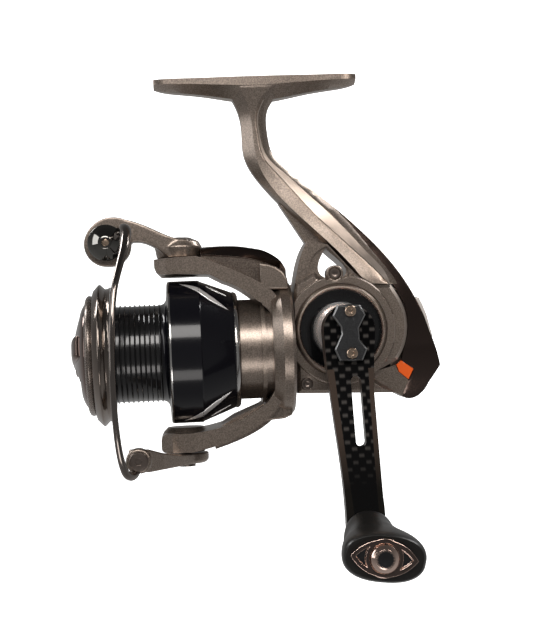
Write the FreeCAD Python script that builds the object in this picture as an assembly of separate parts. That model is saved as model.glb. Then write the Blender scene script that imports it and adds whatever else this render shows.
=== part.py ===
"""Spinning reel, size 3000, built as an assembly of separate pieces.

Frame: millimetres, +Z up, origin at the centre of the reel foot's seat, where the rod bears on it.
The spool axis runs along X with the spool's nose towards -X. The crank axis runs along Y and the
handle is on the -Y side. Every piece is written to parts/NAME.step.
"""
import FreeCAD, Part
import math
import os

Vec = FreeCAD.Vector

# ---- driving dimensions -------------------------------------------------------------------------
AXIS_Z = -87.0                  # height of the spool, rotor and main shaft axis
CRANK_X = 23.4                  # crank axis
CRANK_OFFSET = 5.0              # the crank axis passes above the main shaft
CRANK_Z = AXIS_Z + CRANK_OFFSET
ARM_LENGTH = 59.5               # crank axis to knob axis
KNOB_Z = CRANK_Z - ARM_LENGTH
HUB_INNER_Y, HUB_OUTER_Y = -28.0, -36.0     # crank arm's hub
KNOB_BASE_Y = -56.0             # knob's inner end
BAIL_X = -26.7                  # bail pivots, above and below the spool axis
STROKE = 5.6                    # spool travel each way from rest, the throw of the oscillation pin
RUN = 0.06                      # radial running clearance

SPLIT_Y = -5.5                  # side cover meets the housing
COVER_Y = -11.6                 # outer face of the side cover
FAR_Y = 11.0                    # outer face of the housing's far wall
CAVITY_NEAR, CAVITY_FAR = -9.6, 8.6
CUP_R = 13.9                    # round opening in the side cover
RETAINER_SCREW_R = 8.7          # screw circle of the pinion bearing's retainer

# gear train
PRESSURE_ANGLE = math.radians(25)
PINION_TEETH, DRIVE_TEETH = 9, 43
MESH_X = 12.4                   # from the crank axis forwards to the middle of the pinion's teeth
PINION_PITCH_R = MESH_X * PINION_TEETH / DRIVE_TEETH
OSC_MODULE, OSC_SMALL_TEETH, OSC_TEETH = 0.5, 15, 30
OSC_CENTRES = OSC_MODULE * (OSC_SMALL_TEETH + OSC_TEETH) / 2
OSC_Z = AXIS_Z - 4.4
OSC_X = CRANK_X + math.sqrt(OSC_CENTRES ** 2 - (CRANK_Z - OSC_Z) ** 2)
OSC_LINE = math.degrees(math.atan2(OSC_Z - CRANK_Z, OSC_X - CRANK_X))
PINION_PHASE = 180.0 / PINION_TEETH     # first tooth, so that it stands in a gap of the face gear
DRIVE_GEAR_R = 14.1
SUPPORT_X = 13.4                # wall that carries the pinion's rear end and the guide rod
ROD_Z, ROD_END_X = AXIS_Z - 9.6, 43.6
ROLLERS, ROLLER_R, ROLLER_CENTRE_R = 6, 1.1, 6.35
SLEEVE_R = 5.2                  # inner race of the one-way clutch

MAIN_SHAFT_R = 1.5
DRIVE_TUBE_R = 2.7
KNOB_PIN_R = 2.0
ARM_SCREW_Z = (-76.3, -88.9)
KNOB_TURN = 8.0                 # the knob spins freely; it rests turned this far, in degrees

# rotor and spool
ROTOR_REAR_X = 8.3
DRUM_R, DRUM_FRONT_X = 16.0, -14.0
NECK_R = 13.1                   # housing's neck, inside the rotor
ARBOR_R = 15.5
SKIRT_R, SKIRT_REAR_R = 22.8, 18.2
SKIRT_FRONT_X, SKIRT_BEND_X, SKIRT_REAR_X = -30.7, -20.8, -8.7
HUB_R = 5.2                     # spool's bore, turning on the drag sleeve
LOCK_Y = 6.9                    # screw that locks the rotor nut
BOSS_R = 7.2                    # bosses under the bail's pivots
BAR_TURN = -15.0                # the drag knob rests turned this far, in degrees
WIRE_R = 0.95

os.makedirs("parts", exist_ok=True)


# ---- helpers ------------------------------------------------------------------------------------
def export(name, *solids):
    """Write one node. A node may be a group of separate solids."""
    shape = solids[0] if len(solids) == 1 else Part.makeCompound(list(solids))
    shape.exportStep(f"parts/{name}.step")


def place(u, v, plane, level):
    """A point of a flat sketch: plane XZ sits at y = level, XY at z = level, YZ at x = level."""
    return {"XZ": Vec(u, level, v), "XY": Vec(u, v, level), "YZ": Vec(level, u, v)}[plane]


def wire(path, plane="XZ", level=0.0):
    """A closed wire. Items are points, ("arc", middle, end) or ("curve", points...)."""
    start = place(*path[0], plane, level)
    here, edges = start, []
    for item in path[1:]:
        if item[0] == "arc":
            middle, end = (place(*p, plane, level) for p in item[1:])
            edges.append(Part.Arc(here, middle, end).toShape())
        elif item[0] == "curve":
            points = [here] + [place(*p, plane, level) for p in item[1:]]
            spline = Part.BSplineCurve()
            spline.interpolate(points)
            edges.append(spline.toShape())
            end = points[-1]
        else:
            end = place(*item, plane, level)
            edges.append(Part.makeLine(here, end))
        here = end
    if here.distanceToPoint(start) > 1e-6:
        edges.append(Part.makeLine(here, start))
    return Part.Wire(edges)


def prism(path, low, high, plane="XZ"):
    """The outline extruded between two levels along the plane's normal."""
    normal = {"XZ": Vec(0, 1, 0), "XY": Vec(0, 0, 1), "YZ": Vec(1, 0, 0)}[plane]
    return Part.Face(wire(path, plane, low)).extrude(normal * (high - low))


def turned(profile, axis="X", at=(0.0, AXIS_Z)):
    """A profile of (station, radius) points turned round an axis through `at`."""
    if axis == "X":
        base, direction = Vec(0, at[0], at[1]), Vec(1, 0, 0)
        points = [base + Vec(s, 0, r) for s, r in profile]
    elif axis == "Y":
        base, direction = Vec(at[0], 0, at[1]), Vec(0, 1, 0)
        points = [base + Vec(r, s, 0) for s, r in profile]
    else:
        base, direction = Vec(at[0], at[1], 0), Vec(0, 0, 1)
        points = [base + Vec(r, 0, s) for s, r in profile]
    face = Part.Face(Part.makePolygon(points + [points[0]]))
    return face.revolve(base, direction, 360)


def ring(low, high, outer, inner=0.0, axis="X", at=(0.0, AXIS_Z), chamfer=0.0):
    """A disc, or a tube if inner is not 0, with optional chamfers on the outer edges."""
    c = chamfer
    outside = [(low, outer - c), (low + c, outer), (high - c, outer), (high, outer - c)] if c else \
        [(low, outer), (high, outer)]
    return turned([(low, inner)] + outside + [(high, inner)], axis, at)


def box(x0, x1, y0, y1, z0, z1):
    return Part.makeBox(x1 - x0, y1 - y0, z1 - z0, Vec(x0, y0, z0))


def fuse(*shapes):
    return shapes[0].multiFuse(list(shapes[1:])).removeSplitter()


def on_circle(count, radius, first=0.0):
    """(angle in degrees, u, v) for `count` places round a circle."""
    for i in range(count):
        angle = first + 360.0 * i / count
        yield angle, radius * math.cos(math.radians(angle)), radius * math.sin(math.radians(angle))


def at_level(edge, axis, value):
    """True if the whole edge lies on x, y or z = value."""
    box_ = edge.BoundBox
    low, high = getattr(box_, axis + "Min"), getattr(box_, axis + "Max")
    return abs(low - value) < 1e-3 and abs(high - value) < 1e-3


def screw(x, z, head_y, length, head_r=2.0, head_h=1.4, shank_r=1.1, socket=0.75):
    """A socket-head screw along Y: its head faces -Y and its outer face is at y = head_y."""
    head = ring(head_y, head_y + head_h, head_r, 0, "Y", (x, z), 0.3)
    shank = ring(head_y + head_h, head_y + head_h + length, shank_r, 0, "Y", (x, z))
    hexagon = [(x + u, z + v) for _, u, v in on_circle(6, socket * 1.15)]
    return fuse(head, shank).cut(prism(hexagon, head_y - 0.1, head_y + 0.9))


def gear_outline(teeth, pitch_r, addendum, dedendum, slack, first):
    """Involute tooth outline as (u, v) points about the gear's axis. `slack` thins each flank."""
    base_r = pitch_r * math.cos(PRESSURE_ANGLE)
    root_r, tip_r = pitch_r - dedendum, pitch_r + addendum
    low_r = max(base_r, root_r)

    def half_angle(r):
        a = math.acos(base_r / max(r, base_r))
        inv_p = math.tan(PRESSURE_ANGLE) - PRESSURE_ANGLE
        return math.pi / (2 * teeth) - slack / pitch_r + inv_p - (math.tan(a) - a)

    flank = [low_r + (tip_r - low_r) * i / 3 for i in range(4)]
    side = [(r, half_angle(r)) for r in flank]
    if root_r < low_r:
        side = [(root_r, half_angle(low_r) + 0.02)] + side
    outline = []
    for angle, _, _ in on_circle(teeth, 1.0, first):
        middle = math.radians(angle)
        outline += [(r * math.cos(middle - h), r * math.sin(middle - h)) for r, h in side]
        outline += [(r * math.cos(middle + h), r * math.sin(middle + h)) for r, h in reversed(side)]
    return outline


def spur_gear(teeth, low, high, bore, x, z, first):
    """A spur gear of the oscillation train, along Y."""
    m = OSC_MODULE
    outline = gear_outline(teeth, m * teeth / 2, 0.8 * m, 1.1 * m, 0.05, first)
    return prism([(x + u, z + v) for u, v in outline], low, high).cut(
        ring(low - 1, high + 1, bore, 0, "Y", (x, z)))


def bearing(low, high, outer, inner, axis, at, balls=8):
    """The outer ring, inner ring and balls of a ball bearing."""
    race = (outer + inner) / 2
    ball_r = (outer - inner) * 0.22
    middle = (low + high) / 2
    groove = Part.makeTorus(race, ball_r + 0.05)
    if axis == "X":
        groove.Placement = FreeCAD.Placement(Vec(middle, *at), FreeCAD.Rotation(Vec(0, 1, 0), 90))
    else:
        groove.Placement = FreeCAD.Placement(Vec(at[0], middle, at[1]), FreeCAD.Rotation(Vec(1, 0, 0), 90))
    outer_ring = ring(low, high, outer, race + ball_r * 0.55, axis, at, 0.2).cut(groove)
    inner_ring = ring(low, high, race - ball_r * 0.55, inner, axis, at).cut(groove)
    spheres = []
    for _, u, v in on_circle(balls, race):
        centre = Vec(middle, at[0] + u, at[1] + v) if axis == "X" else Vec(at[0] + u, middle, at[1] + v)
        spheres.append(Part.makeSphere(ball_r, centre))
    return outer_ring, inner_ring, spheres


# ---- housing: foot, stem, arch and gearbox --------------------------------------------------------
COVER_OUTLINE = [
    (9.0, -101.5), (9.0, -70.5), (9.6, -66.6), (16.1, -63.4), (16.9, -64.7), (19.4, -66.0),
    (25.0, -65.9), (28.3, -64.6), (35.2, -68.3), (40.0, -68.2),
    ("curve", (42.9, -73.2), (44.7, -79.0), (44.6, -83.5), (43.8, -87.0), (41.0, -92.3)),
    (35.1, -95.2), (33.6, -96.8), (33.6, -98.1), (40.2, -102.6)]
REAR_OUTLINE = ("curve", (31.1, -49.4), (36.6, -55.4), (42.7, -63.4), (47.3, -71.4), (50.0, -77.5),
                (51.9, -83.5))
HOUSING_REAR = [(46.4, -81.0), (46.5, -88.0), (46.4, -95.4), (44.6, -98.9), (42.4, -103.9)]
WINDOW = [(20.3, -55.4), ("curve", (25.0, -60.6), (26.4, -63.4), (25.2, -65.2)),
          (19.4, -65.1), ("curve", (17.5, -62.8), (18.4, -58.6), (20.3, -55.4))]
WINDOW_STEP = [(14.3, -66.0), ("curve", (14.4, -62.2), (15.6, -58.6), (17.8, -56.4), (20.4, -55.2)),
               (27.0, -62.6), (27.0, -66.0)]
TAIL_OUTLINE = [(33.6, -96.9), (35.1, -95.3), (40.7, -94.0), (41.5, -96.2), (44.6, -98.9),
                (42.4, -103.9), (40.2, -102.7), (33.6, -98.2)]
ACCENT_OUTLINE = [(40.9, -93.9), (42.5, -92.5), (46.3, -95.4), (44.6, -98.7), (41.6, -96.1)]
TOP_BOSS, LOW_SCREW = (22.2, -64.2), (11.9, -98.6)
BOSS_SCREW_R = 2.7


def foot():
    """Flat seat on top; below, side walls and a rib that is deepest where the stem leaves it."""
    stations = [(-32.5, 4.4, 1.5, 2.6, 0.8), (-30.5, 5.4, 1.6, 3.2, 1.6), (-21.0, 6.0, 1.9, 4.5, 2.2),
                (-10.0, 6.4, 2.5, 6.2, 2.8), (0.0, 6.6, 2.9, 7.4, 3.2), (10.0, 6.4, 2.5, 6.4, 2.8),
                (21.0, 6.0, 1.9, 4.6, 2.2), (30.5, 5.4, 1.6, 3.3, 1.6), (32.5, 4.4, 1.5, 2.7, 0.8)]
    sections = []
    for x, half, edge, deep, rib in stations:
        outline = [(-half, 0.6), (half, 0.6), (half, -edge), (rib, -deep), (-rib, -deep), (-half, -edge)]
        sections.append(wire(outline, "YZ", x))
    return Part.makeLoft(sections, True, False).cut(box(-40, 40, -9, 9, 0, 3))


def stem():
    """Sections from the foot to the gearbox: front point, rear point, half thickness, nose half
    thickness, and where along the section the side flat begins and ends."""
    sections = [
        ((-10.5, -2.5), (10.5, -2.5), 6.3, 3.2, 0.24, 0.76),
        ((-7.0, -7.6), (5.4, -7.6), 5.4, 2.4, 0.30, 0.68),
        ((-5.3, -12.6), (3.3, -12.6), 4.7, 1.9, 0.40, 0.60),
        ((-4.8, -19.0), (3.5, -19.0), 4.5, 1.8, 0.42, 0.60),
        ((-3.9, -26.6), (5.6, -25.6), 4.5, 1.8, 0.36, 0.60),
        ((0.2, -33.6), (11.4, -31.4), 4.8, 1.9, 0.20, 0.58),
        ((6.4, -40.8), (18.6, -37.8), 5.6, 2.2, 0.12, 0.50),
        ((12.0, -46.4), (25.2, -43.6), 6.3, 2.6, 0.10, 0.42),
        ((17.4, -51.4), (31.1, -49.3), 7.2, 3.2, 0.08, 0.40),
        ((22.8, -57.0), (37.2, -56.2), 8.2, 3.8, 0.08, 0.42),
        ((27.6, -62.6), (42.7, -63.4), 9.4, 4.6, 0.08, 0.50),
        ((31.0, -67.5), (45.4, -68.4), 10.2, 5.2, 0.08, 0.56)]
    wires = []
    for front, rear, half, nose, flat_start, flat_end in sections:
        shoulder = flat_end + (1 - flat_end) * 0.58
        side = [(0.0, nose), (flat_start, half), (flat_end, half), (shoulder, half * 0.72 + nose * 0.2),
                (1.0, nose)]
        ring_points = [(s, y) for s, y in side] + [(s, -y) for s, y in reversed(side)]
        points = [Vec(front[0] + (rear[0] - front[0]) * s, y, front[1] + (rear[1] - front[1]) * s)
                  for s, y in ring_points]
        wires.append(Part.makePolygon(points + [points[0]]))
    return Part.makeLoft(wires, True, False)


def rear_cover_solid():
    """Outer form of the rear cover: side outline cut to a back view that widens downwards."""
    side = [(24.3, -42.9), REAR_OUTLINE, ("curve", (54.2, -90.4), (55.0, -94.6)), (51.2, -100.0),
            ("curve", (49.3, -102.9), (46.6, -104.7), (44.0, -104.8)), (42.4, -103.9), (44.6, -98.9),
            (46.4, -95.4), (42.4, -92.4),
            ("curve", (43.9, -87.0), (44.8, -83.5), (44.9, -79.0), (44.4, -75.0)),
            ("curve", (41.0, -68.3), (34.5, -58.8), (29.7, -53.2), (24.3, -47.2))]
    back = [(-2.6, -42.0), (2.6, -42.0), ("curve", (5.8, -56.0), (9.2, -72.0), (9.8, -88.0)),
            ("curve", (9.2, -98.0), (6.5, -106.0)), (-6.5, -106.0),
            ("curve", (-9.2, -98.0), (-9.8, -88.0)),
            ("curve", (-9.2, -72.0), (-5.8, -56.0), (-2.6, -42.0))]
    return prism(side, -12, 12).common(prism(back, 20, 60, "YZ"))


def cavity():
    """Room for the gears, from the side cover's inside to the far wall."""
    main = [(10.7, -99.8), (10.7, -71.0), (13.5, -67.8), (33.0, -67.8), (38.4, -70.6), (41.7, -76.4),
            (43.2, -81.5), (42.4, -86.6), (39.9, -91.2), (34.4, -93.9), (32.4, -96.0), (32.4, -99.8)]
    low = [(30.0, -99.8), (30.0, -88.0), (40.2, -88.0), (39.6, -92.0), (39.4, -99.8)]
    near = [(10.7, -99.8), (10.7, -71.0), (13.5, -67.9), (33.0, -67.9), (38.0, -70.6), (41.6, -76.4),
            (43.0, -81.5), (42.2, -86.4), (39.6, -91.0), (32.0, -94.4), (32.0, -99.8)]
    return fuse(prism(near, CAVITY_NEAR, SPLIT_Y + 0.01), prism(main, SPLIT_Y, CAVITY_FAR),
                prism(low, SPLIT_Y, 6.4))


def crank_ring(low, high, outer, inner=0.0, chamfer=0.0):
    return ring(low, high, outer, inner, "Y", (CRANK_X, CRANK_Z), chamfer)


def housing():
    """One casting: foot, stem, arch with its window, gearbox, neck, and the walls inside."""
    rear = [(44.4, -75.0)] + HOUSING_REAR
    gearbox = [(9.0, -101.5), (9.0, -69.5), (11.0, -66.0), (32.0, -66.0), (40.0, -68.2)] + rear + \
        [(40.2, -102.6)]
    arch = [(14.4, -53.3), ("curve", (12.4, -56.8), (11.0, -61.0), (9.0, -70.0)), (9.0, -74.0),
            (31.0, -74.0), (31.0, -66.0), (27.5, -62.5), (20.6, -54.6)]
    web = [(6.0, -40.6), (14.6, -54.6), (22.0, -57.0), (16.0, -48.0)]
    neck = ring(-4.6, 9.4, NECK_R).cut(box(8.7, 10, -14, SPLIT_Y, AXIS_Z - 14, AXIS_Z + 14))
    solid = fuse(foot(), stem(), prism(web, -2.4, 2.4), prism(arch, -8.2, 8.2),
                 prism(gearbox, SPLIT_Y, 8.0), prism(COVER_OUTLINE, 8.0, FAR_Y),
                 prism(TAIL_OUTLINE, -9.3, 8.0), neck)
    solid = solid.cut(prism(COVER_OUTLINE, -14.0, SPLIT_Y))
    solid = solid.cut(ring(-14.0, SPLIT_Y, BOSS_SCREW_R, 0, "Y", TOP_BOSS))
    solid = solid.cut(prism(WINDOW, -14.0, 14.0)).cut(rear_cover_solid())
    solid = solid.cut(prism(WINDOW_STEP, -14.0, -7.0)).cut(prism(WINDOW_STEP, 7.0, 8.0))
    solid = solid.cut(prism(ACCENT_OUTLINE, -12.0, -6.0)).cut(cavity())
    wall = [(-5.4, -100.0), (8.7, -100.0), (8.7, AXIS_Z + 2.0), (2.0, AXIS_Z + 5.2), (-5.4, AXIS_Z + 5.2)]
    solid = fuse(solid, crank_ring(6.2, FAR_Y - 0.5, 7.6), prism(wall, SUPPORT_X, SUPPORT_X + 2.4, "YZ"))
    solid = solid.cut(crank_ring(2.0, 6.2, DRIVE_GEAR_R + 0.5))
    bores = [ring(SUPPORT_X - 1, SUPPORT_X + 3, 2.2 + RUN), ring(-6.0, 4.0, 10.6), ring(4.0, 8.0, 7.0),
             ring(7.9, 11.0, 5.6), crank_ring(6.1, 9.2, 6.0), crank_ring(9.0, 13.0, 3.6),
             ring(39.0, ROD_END_X, 1.0, 0, "X", (0, ROD_Z)),
             ring(SUPPORT_X + 0.4, SUPPORT_X + 3, 1.0, 0, "X", (0, ROD_Z))]
    for x, z in (LOW_SCREW, TOP_BOSS):
        bores.append(ring(SPLIT_Y - 1, SPLIT_Y + 3.1, 1.1, 0, "Y", (x, z)))
    for _, y, z in on_circle(3, RETAINER_SCREW_R, 90):
        bores.append(ring(3.9, 6.1, 0.8, 0, "X", (y, AXIS_Z + z)))
    for bore in bores:
        solid = solid.cut(bore)
    return max(solid.removeSplitter().Solids, key=lambda piece: piece.Volume)


def side_cover():
    """Handle-side shell with a chamfered rim, a raised screw boss and a round opening."""
    solid = prism(COVER_OUTLINE, COVER_Y, SPLIT_Y)
    solid = solid.makeChamfer(1.1, [e for e in solid.Edges if at_level(e, "Y", COVER_Y)])
    collar = crank_ring(-12.3, -11.0, 17.4, 14.8, 0.4).common(prism(COVER_OUTLINE, -13, -10))
    solid = fuse(solid, ring(-12.2, SPLIT_Y, BOSS_SCREW_R, 0, "Y", TOP_BOSS, 0.3), collar).cut(cavity())
    solid = solid.cut(crank_ring(-14, -5, CUP_R))
    for x, z in (LOW_SCREW, TOP_BOSS):
        solid = solid.cut(ring(-14.0, -10.4, 2.0, 0, "Y", (x, z)))
        solid = solid.cut(ring(-11.5, SPLIT_Y + 1, 1.1, 0, "Y", (x, z)))
    return solid


def side_cup():
    """Black cup in the side cover's opening, with the near bearing's seat and the oscillation axle."""
    cup = turned([(-11.8, 12.7), (-11.8, CUP_R), (-8.6, CUP_R), (-8.6, 7.2), (-5.9, 7.2), (-5.9, 5.2),
                  (-6.3, 5.2), (-6.3, 6.0), (-9.6, 6.0), (-9.6, 12.7)], "Y", (CRANK_X, CRANK_Z))
    at = (OSC_X, OSC_Z)
    return fuse(cup, ring(-9.0, -3.5, 1.5, 0, "Y", at), ring(-9.0, -5.5, 2.5, 0, "Y", at))


def side_ring():
    """Thin polished ring round the cup."""
    return turned([(-11.8, 12.7), (-12.8, 12.9), (-13.4, 13.3), (-13.6, 13.7), (-13.2, 14.2),
                   (-12.3, 14.6), (-11.6, 14.6), (-11.6, CUP_R), (-11.8, CUP_R)], "Y", (CRANK_X, CRANK_Z))


def rear_cover():
    """Outer shell of the back, hollowed behind the housing's rear wall."""
    return rear_cover_solid().cut(rear_trim())


def rear_trim():
    """Raised bright bar across the back of the rear cover."""
    bar = [(47.6, -73.2), ("curve", (50.0, -78.8), (51.6, -85.0)), (52.9, -85.0),
           ("curve", (51.2, -78.6), (48.8, -72.8))]
    return prism(bar, -7.6, 7.6)


def rear_accent():
    """Slanted coloured inlay between the side cover, the rear cover and the tail."""
    solid = prism(ACCENT_OUTLINE, -9.6, -6.0).cut(rear_cover_solid())
    return solid.cut(prism(COVER_OUTLINE, -14, SPLIT_Y))


def body_screws():
    """Two cover screws along Y and three small ones that hold the pinion bearing's retainer."""
    solids = [screw(x, z, -11.8, 5.6, 1.95, 1.4, 1.1) for x, z in (LOW_SCREW, TOP_BOSS)]
    for _, y, z in on_circle(3, RETAINER_SCREW_R, 90):
        place_at = (y, AXIS_Z + z)
        solids.append(fuse(ring(2.2, 3.0, 1.3, 0, "X", place_at), ring(3.0, 6.0, 0.8, 0, "X", place_at)))
    return solids


def pinion_retainer():
    plate = ring(3.0, 4.0, 10.5, 5.6)
    for _, y, z in on_circle(3, RETAINER_SCREW_R, 90):
        plate = plate.cut(ring(2.9, 4.1, 0.8, 0, "X", (y, AXIS_Z + z)))
    return plate


def clutch_housing():
    """One-way clutch: outer race with a ramp pocket for each roller."""
    race = ring(-4.3, 2.0, 10.5, 7.3, chamfer=0.3)
    for _, y, z in on_circle(ROLLERS, ROLLER_CENTRE_R, 15):
        race = race.cut(ring(-4.4, 2.1, ROLLER_R + 0.25, 0, "X", (y, AXIS_Z + z)))
    return race


def clutch_rollers():
    return [ring(-3.6, 1.6, ROLLER_R, 0, "X", (y, AXIS_Z + z))
            for _, y, z in on_circle(ROLLERS, ROLLER_CENTRE_R, 15)]


def far_cap():
    """Screw-in dust cap over the far end of the crank."""
    centre = (CRANK_X, CRANK_Z)
    cap = turned([(FAR_Y, 0), (FAR_Y, 6.6), (12.2, 6.6), (13.2, 5.6), (13.2, 0)], "Y", centre)
    neck = ring(FAR_Y - 1.4, FAR_Y, 3.6, 0, "Y", centre)
    return fuse(cap, neck).cut(box(CRANK_X - 3.6, CRANK_X + 3.6, 12.3, 14, CRANK_Z - 0.6, CRANK_Z + 0.6))


# ---- crank: drive gear, shaft, arm ----------------------------------------------------------------
def face_teeth():
    """Teeth on the near face of the drive gear, each tangent to the offset circle."""
    pitch = 2 * math.pi * MESH_X / DRIVE_TEETH
    half = pitch / 4 - 0.13
    tip_y, root_y = PINION_PITCH_R - 0.40, PINION_PITCH_R + 0.72
    slope = math.tan(PRESSURE_ANGLE)
    tip, root = half - 0.40 * slope, half + 0.72 * slope
    x0 = CRANK_X - 17.0
    outline = [(AXIS_Z - root, root_y + 0.1), (AXIS_Z - root, root_y), (AXIS_Z - tip, tip_y),
               (AXIS_Z + tip, tip_y), (AXIS_Z + root, root_y), (AXIS_Z + root, root_y + 0.1)]
    polygon = Part.makePolygon([Vec(x0, y, z) for z, y in outline + outline[:1]])
    bar = Part.Face(polygon).extrude(Vec(8.0, 0, 0))
    bar = bar.common(crank_ring(1.0, 5.0, DRIVE_GEAR_R, DRIVE_GEAR_R - 1.6))
    teeth = []
    for angle, _, _ in on_circle(DRIVE_TEETH, 1.0):
        tooth = bar.copy()
        tooth.rotate(Vec(CRANK_X, 0, CRANK_Z), Vec(0, 1, 0), angle)
        teeth.append(tooth)
    return teeth


def drive_gear():
    """Face gear with its hollow shaft."""
    root_y = PINION_PITCH_R + 0.72
    disc = crank_ring(root_y, 5.6, DRIVE_GEAR_R, 0, 0.2)
    disc = disc.cut(crank_ring(root_y - 1, root_y + 0.7, DRIVE_GEAR_R - 1.8, 4.4))
    for _, u, v in on_circle(5, 8.2, 20):
        disc = disc.cut(ring(1, 7, 2.1, 0, "Y", (CRANK_X + u, CRANK_Z + v)))
    tube = crank_ring(-9.6, 9.0, DRIVE_TUBE_R)
    solid = disc.multiFuse([tube] + face_teeth())
    return solid.cut(crank_ring(-12, 12, 1.6)).removeSplitter()


def osc_drive_gear():
    return spur_gear(OSC_SMALL_TEETH, -5.2, -3.7, DRIVE_TUBE_R, CRANK_X, CRANK_Z, OSC_LINE)


def osc_gear():
    """Oscillation gear; its pin stops just short of the slider's slot."""
    phase = OSC_LINE + 180 + 180.0 / OSC_TEETH
    gear = spur_gear(OSC_TEETH, -5.2, -3.7, 1.5 + RUN, OSC_X, OSC_Z, phase)
    return fuse(gear, ring(-3.7, -3.2, 1.1, 0, "Y", (OSC_X, OSC_Z - STROKE)))


def handle_shaft():
    """Shaft through the drive gear, with a hexagonal root outside the cup."""
    at = (CRANK_X, CRANK_Z)
    solid = fuse(ring(-10.4, 7.6, 1.6, 0, "Y", at), ring(HUB_INNER_Y, -9.9, 3.2, 0, "Y", at))
    return solid


def drive_collar():
    """Bell-shaped polished collar between the cup and the handle arm."""
    return turned([(-10.2, 3.2), (-10.2, 8.4), (-10.6, 8.8), (-13.2, 8.8), (-15.0, 8.3), (-17.5, 6.8),
                   (-20.5, 6.0), (-27.4, 5.8), (-27.7, 5.5), (-27.7, 3.2)], "Y", (CRANK_X, CRANK_Z))


def handle_arm():
    """Arm whose front outline is cut to a side sweep that runs outwards to the knob."""
    front = [(15.4, -82.0), ("arc", (23.1, -74.3), (30.9, -82.0)), ("curve", (30.2, -91.3), (29.5, -100.0)),
             ("curve", (29.4, -117.0), (29.2, -130.0)), ("curve", (29.0, -139.0), (28.4, -143.0)),
             ("arc", (23.1, -148.3), (17.8, -143.0)), ("curve", (18.1, -130.0), (17.4, -115.0)),
             ("curve", (16.2, -98.0), (15.4, -82.0))]
    sweep = [(HUB_OUTER_Y, -73.0), (HUB_OUTER_Y, -91.6),
             ("curve", (-37.6, -98.0), (-41.6, -110.0), (-48.0, -126.0), (-53.0, -138.0), (-54.0, -143.0)),
             (-54.0, -150.0), (-49.8, -150.0), (-49.8, -144.0),
             ("curve", (-48.4, -138.0), (-43.6, -126.0), (-37.4, -110.0), (-33.6, -99.0), (-30.4, -93.0),
              (HUB_INNER_Y, -89.6)), (HUB_INNER_Y, -73.0)]
    solid = prism(front, -60, -15).common(prism(sweep, 5, 45, "YZ"))
    slot = [(22.8, -97.2), ("arc", (24.3, -95.7), (25.8, -97.2)), (25.8, -114.8),
            ("arc", (24.3, -116.3), (22.8, -114.8))]
    solid = solid.cut(prism(slot, -60, -15)).cut(ring(-60, -30, 2.2, 0, "Y", (CRANK_X, KNOB_Z)))
    for z in ARM_SCREW_Z:
        solid = solid.cut(ring(-40, -32.2, 0.9, 0, "Y", (CRANK_X, z)))
    return solid


CLAMP_OUTLINE = [(19.6, -74.5), (26.4, -74.5), (28.0, -77.6), (25.8, -81.6), (26.0, -85.0), (28.1, -87.8),
                 (26.6, -91.2), (19.8, -91.2), (18.3, -87.6), (20.5, -83.2), (20.4, -81.0), (18.1, -77.6)]


def arm_clamp_plate():
    face = HUB_OUTER_Y - 1.8
    plate = prism(CLAMP_OUTLINE, face, HUB_OUTER_Y)
    plate = plate.makeChamfer(0.4, [e for e in plate.Edges if at_level(e, "Y", face)])
    for z in ARM_SCREW_Z:
        plate = plate.cut(ring(face - 1, HUB_OUTER_Y + 1, 0.9, 0, "Y", (CRANK_X, z)))
    return plate


def arm_screws():
    return [screw(CRANK_X, z, HUB_OUTER_Y - 2.8, 5.4, 1.7, 1.0, 0.9, 0.65) for z in ARM_SCREW_Z]


def knob_pin():
    """Pin the knob turns on, riveted into the arm."""
    at = (CRANK_X, KNOB_Z)
    base = KNOB_BASE_Y
    pin = ring(base - 30.7, base + 6.2, KNOB_PIN_R, 0, "Y", at)
    head = ring(base - 31.9, base - 30.7, 2.9, 0, "Y", at)
    return fuse(pin, head, ring(base + 0.3, base + 6.2, 2.2, 0, "Y", at))


# ---- knob -----------------------------------------------------------------------------------------
def turned_knob(shape):
    return shape.rotated(Vec(CRANK_X, 0, KNOB_Z), Vec(0, 1, 0), KNOB_TURN)


def knob_section(depth, dx, dz, half_x, half_z, power=2.4):
    """Smooth rounded section of the knob, `depth` outwards from its base."""
    points = []
    for i in range(20):
        a = 2 * math.pi * i / 20
        c, s = math.cos(a), math.sin(a)
        x = CRANK_X + dx + half_x * math.copysign(abs(c) ** (2 / power), c)
        z = KNOB_Z + dz + half_z * math.copysign(abs(s) ** (2 / power), s)
        points.append(Vec(x, KNOB_BASE_Y - depth, z))
    curve = Part.BSplineCurve()
    curve.interpolate(points, True)
    return Part.Wire(curve.toShape())


def knob_ring(near, far, outer):
    """A disc on the knob's axis, between two depths outwards from its base."""
    return ring(KNOB_BASE_Y - far, KNOB_BASE_Y - near, outer, 0, "Y", (CRANK_X, KNOB_Z))


def knob_grip():
    """Soft grip: a round neck that widens into a flat paddle."""
    sections = [(0.0, 0.0, 0.4, 6.6, 7.4, 2.2), (1.2, 0.0, 0.4, 7.1, 7.9, 2.2),
                (5.0, 0.0, 0.3, 7.1, 7.7, 2.2),
                (10.0, 0.1, 0.1, 7.4, 7.2, 2.2), (16.0, 0.5, -0.1, 9.0, 6.9, 2.3),
                (22.0, 0.7, -0.2, 10.8, 6.9, 2.4),
                (27.0, 0.7, -0.3, 11.3, 6.8, 2.4), (30.0, 0.5, -0.3, 10.9, 6.4, 2.4),
                (31.1, 0.4, -0.2, 10.2, 5.9, 2.4)]
    solid = Part.makeLoft([knob_section(*s) for s in sections], True, False)
    return turned_knob(solid.cut(knob_ring(-1, 33, KNOB_PIN_R + RUN)).cut(knob_ring(30.3, 33, 3.3)))


def lens(half_x, half_z):
    """Eye-shaped outline on the knob's axis."""
    x, z = CRANK_X, KNOB_Z
    return [(x - half_x, z), ("arc", (x, z + half_z), (x + half_x, z)),
            ("arc", (x, z - half_z), (x - half_x, z))]


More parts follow.
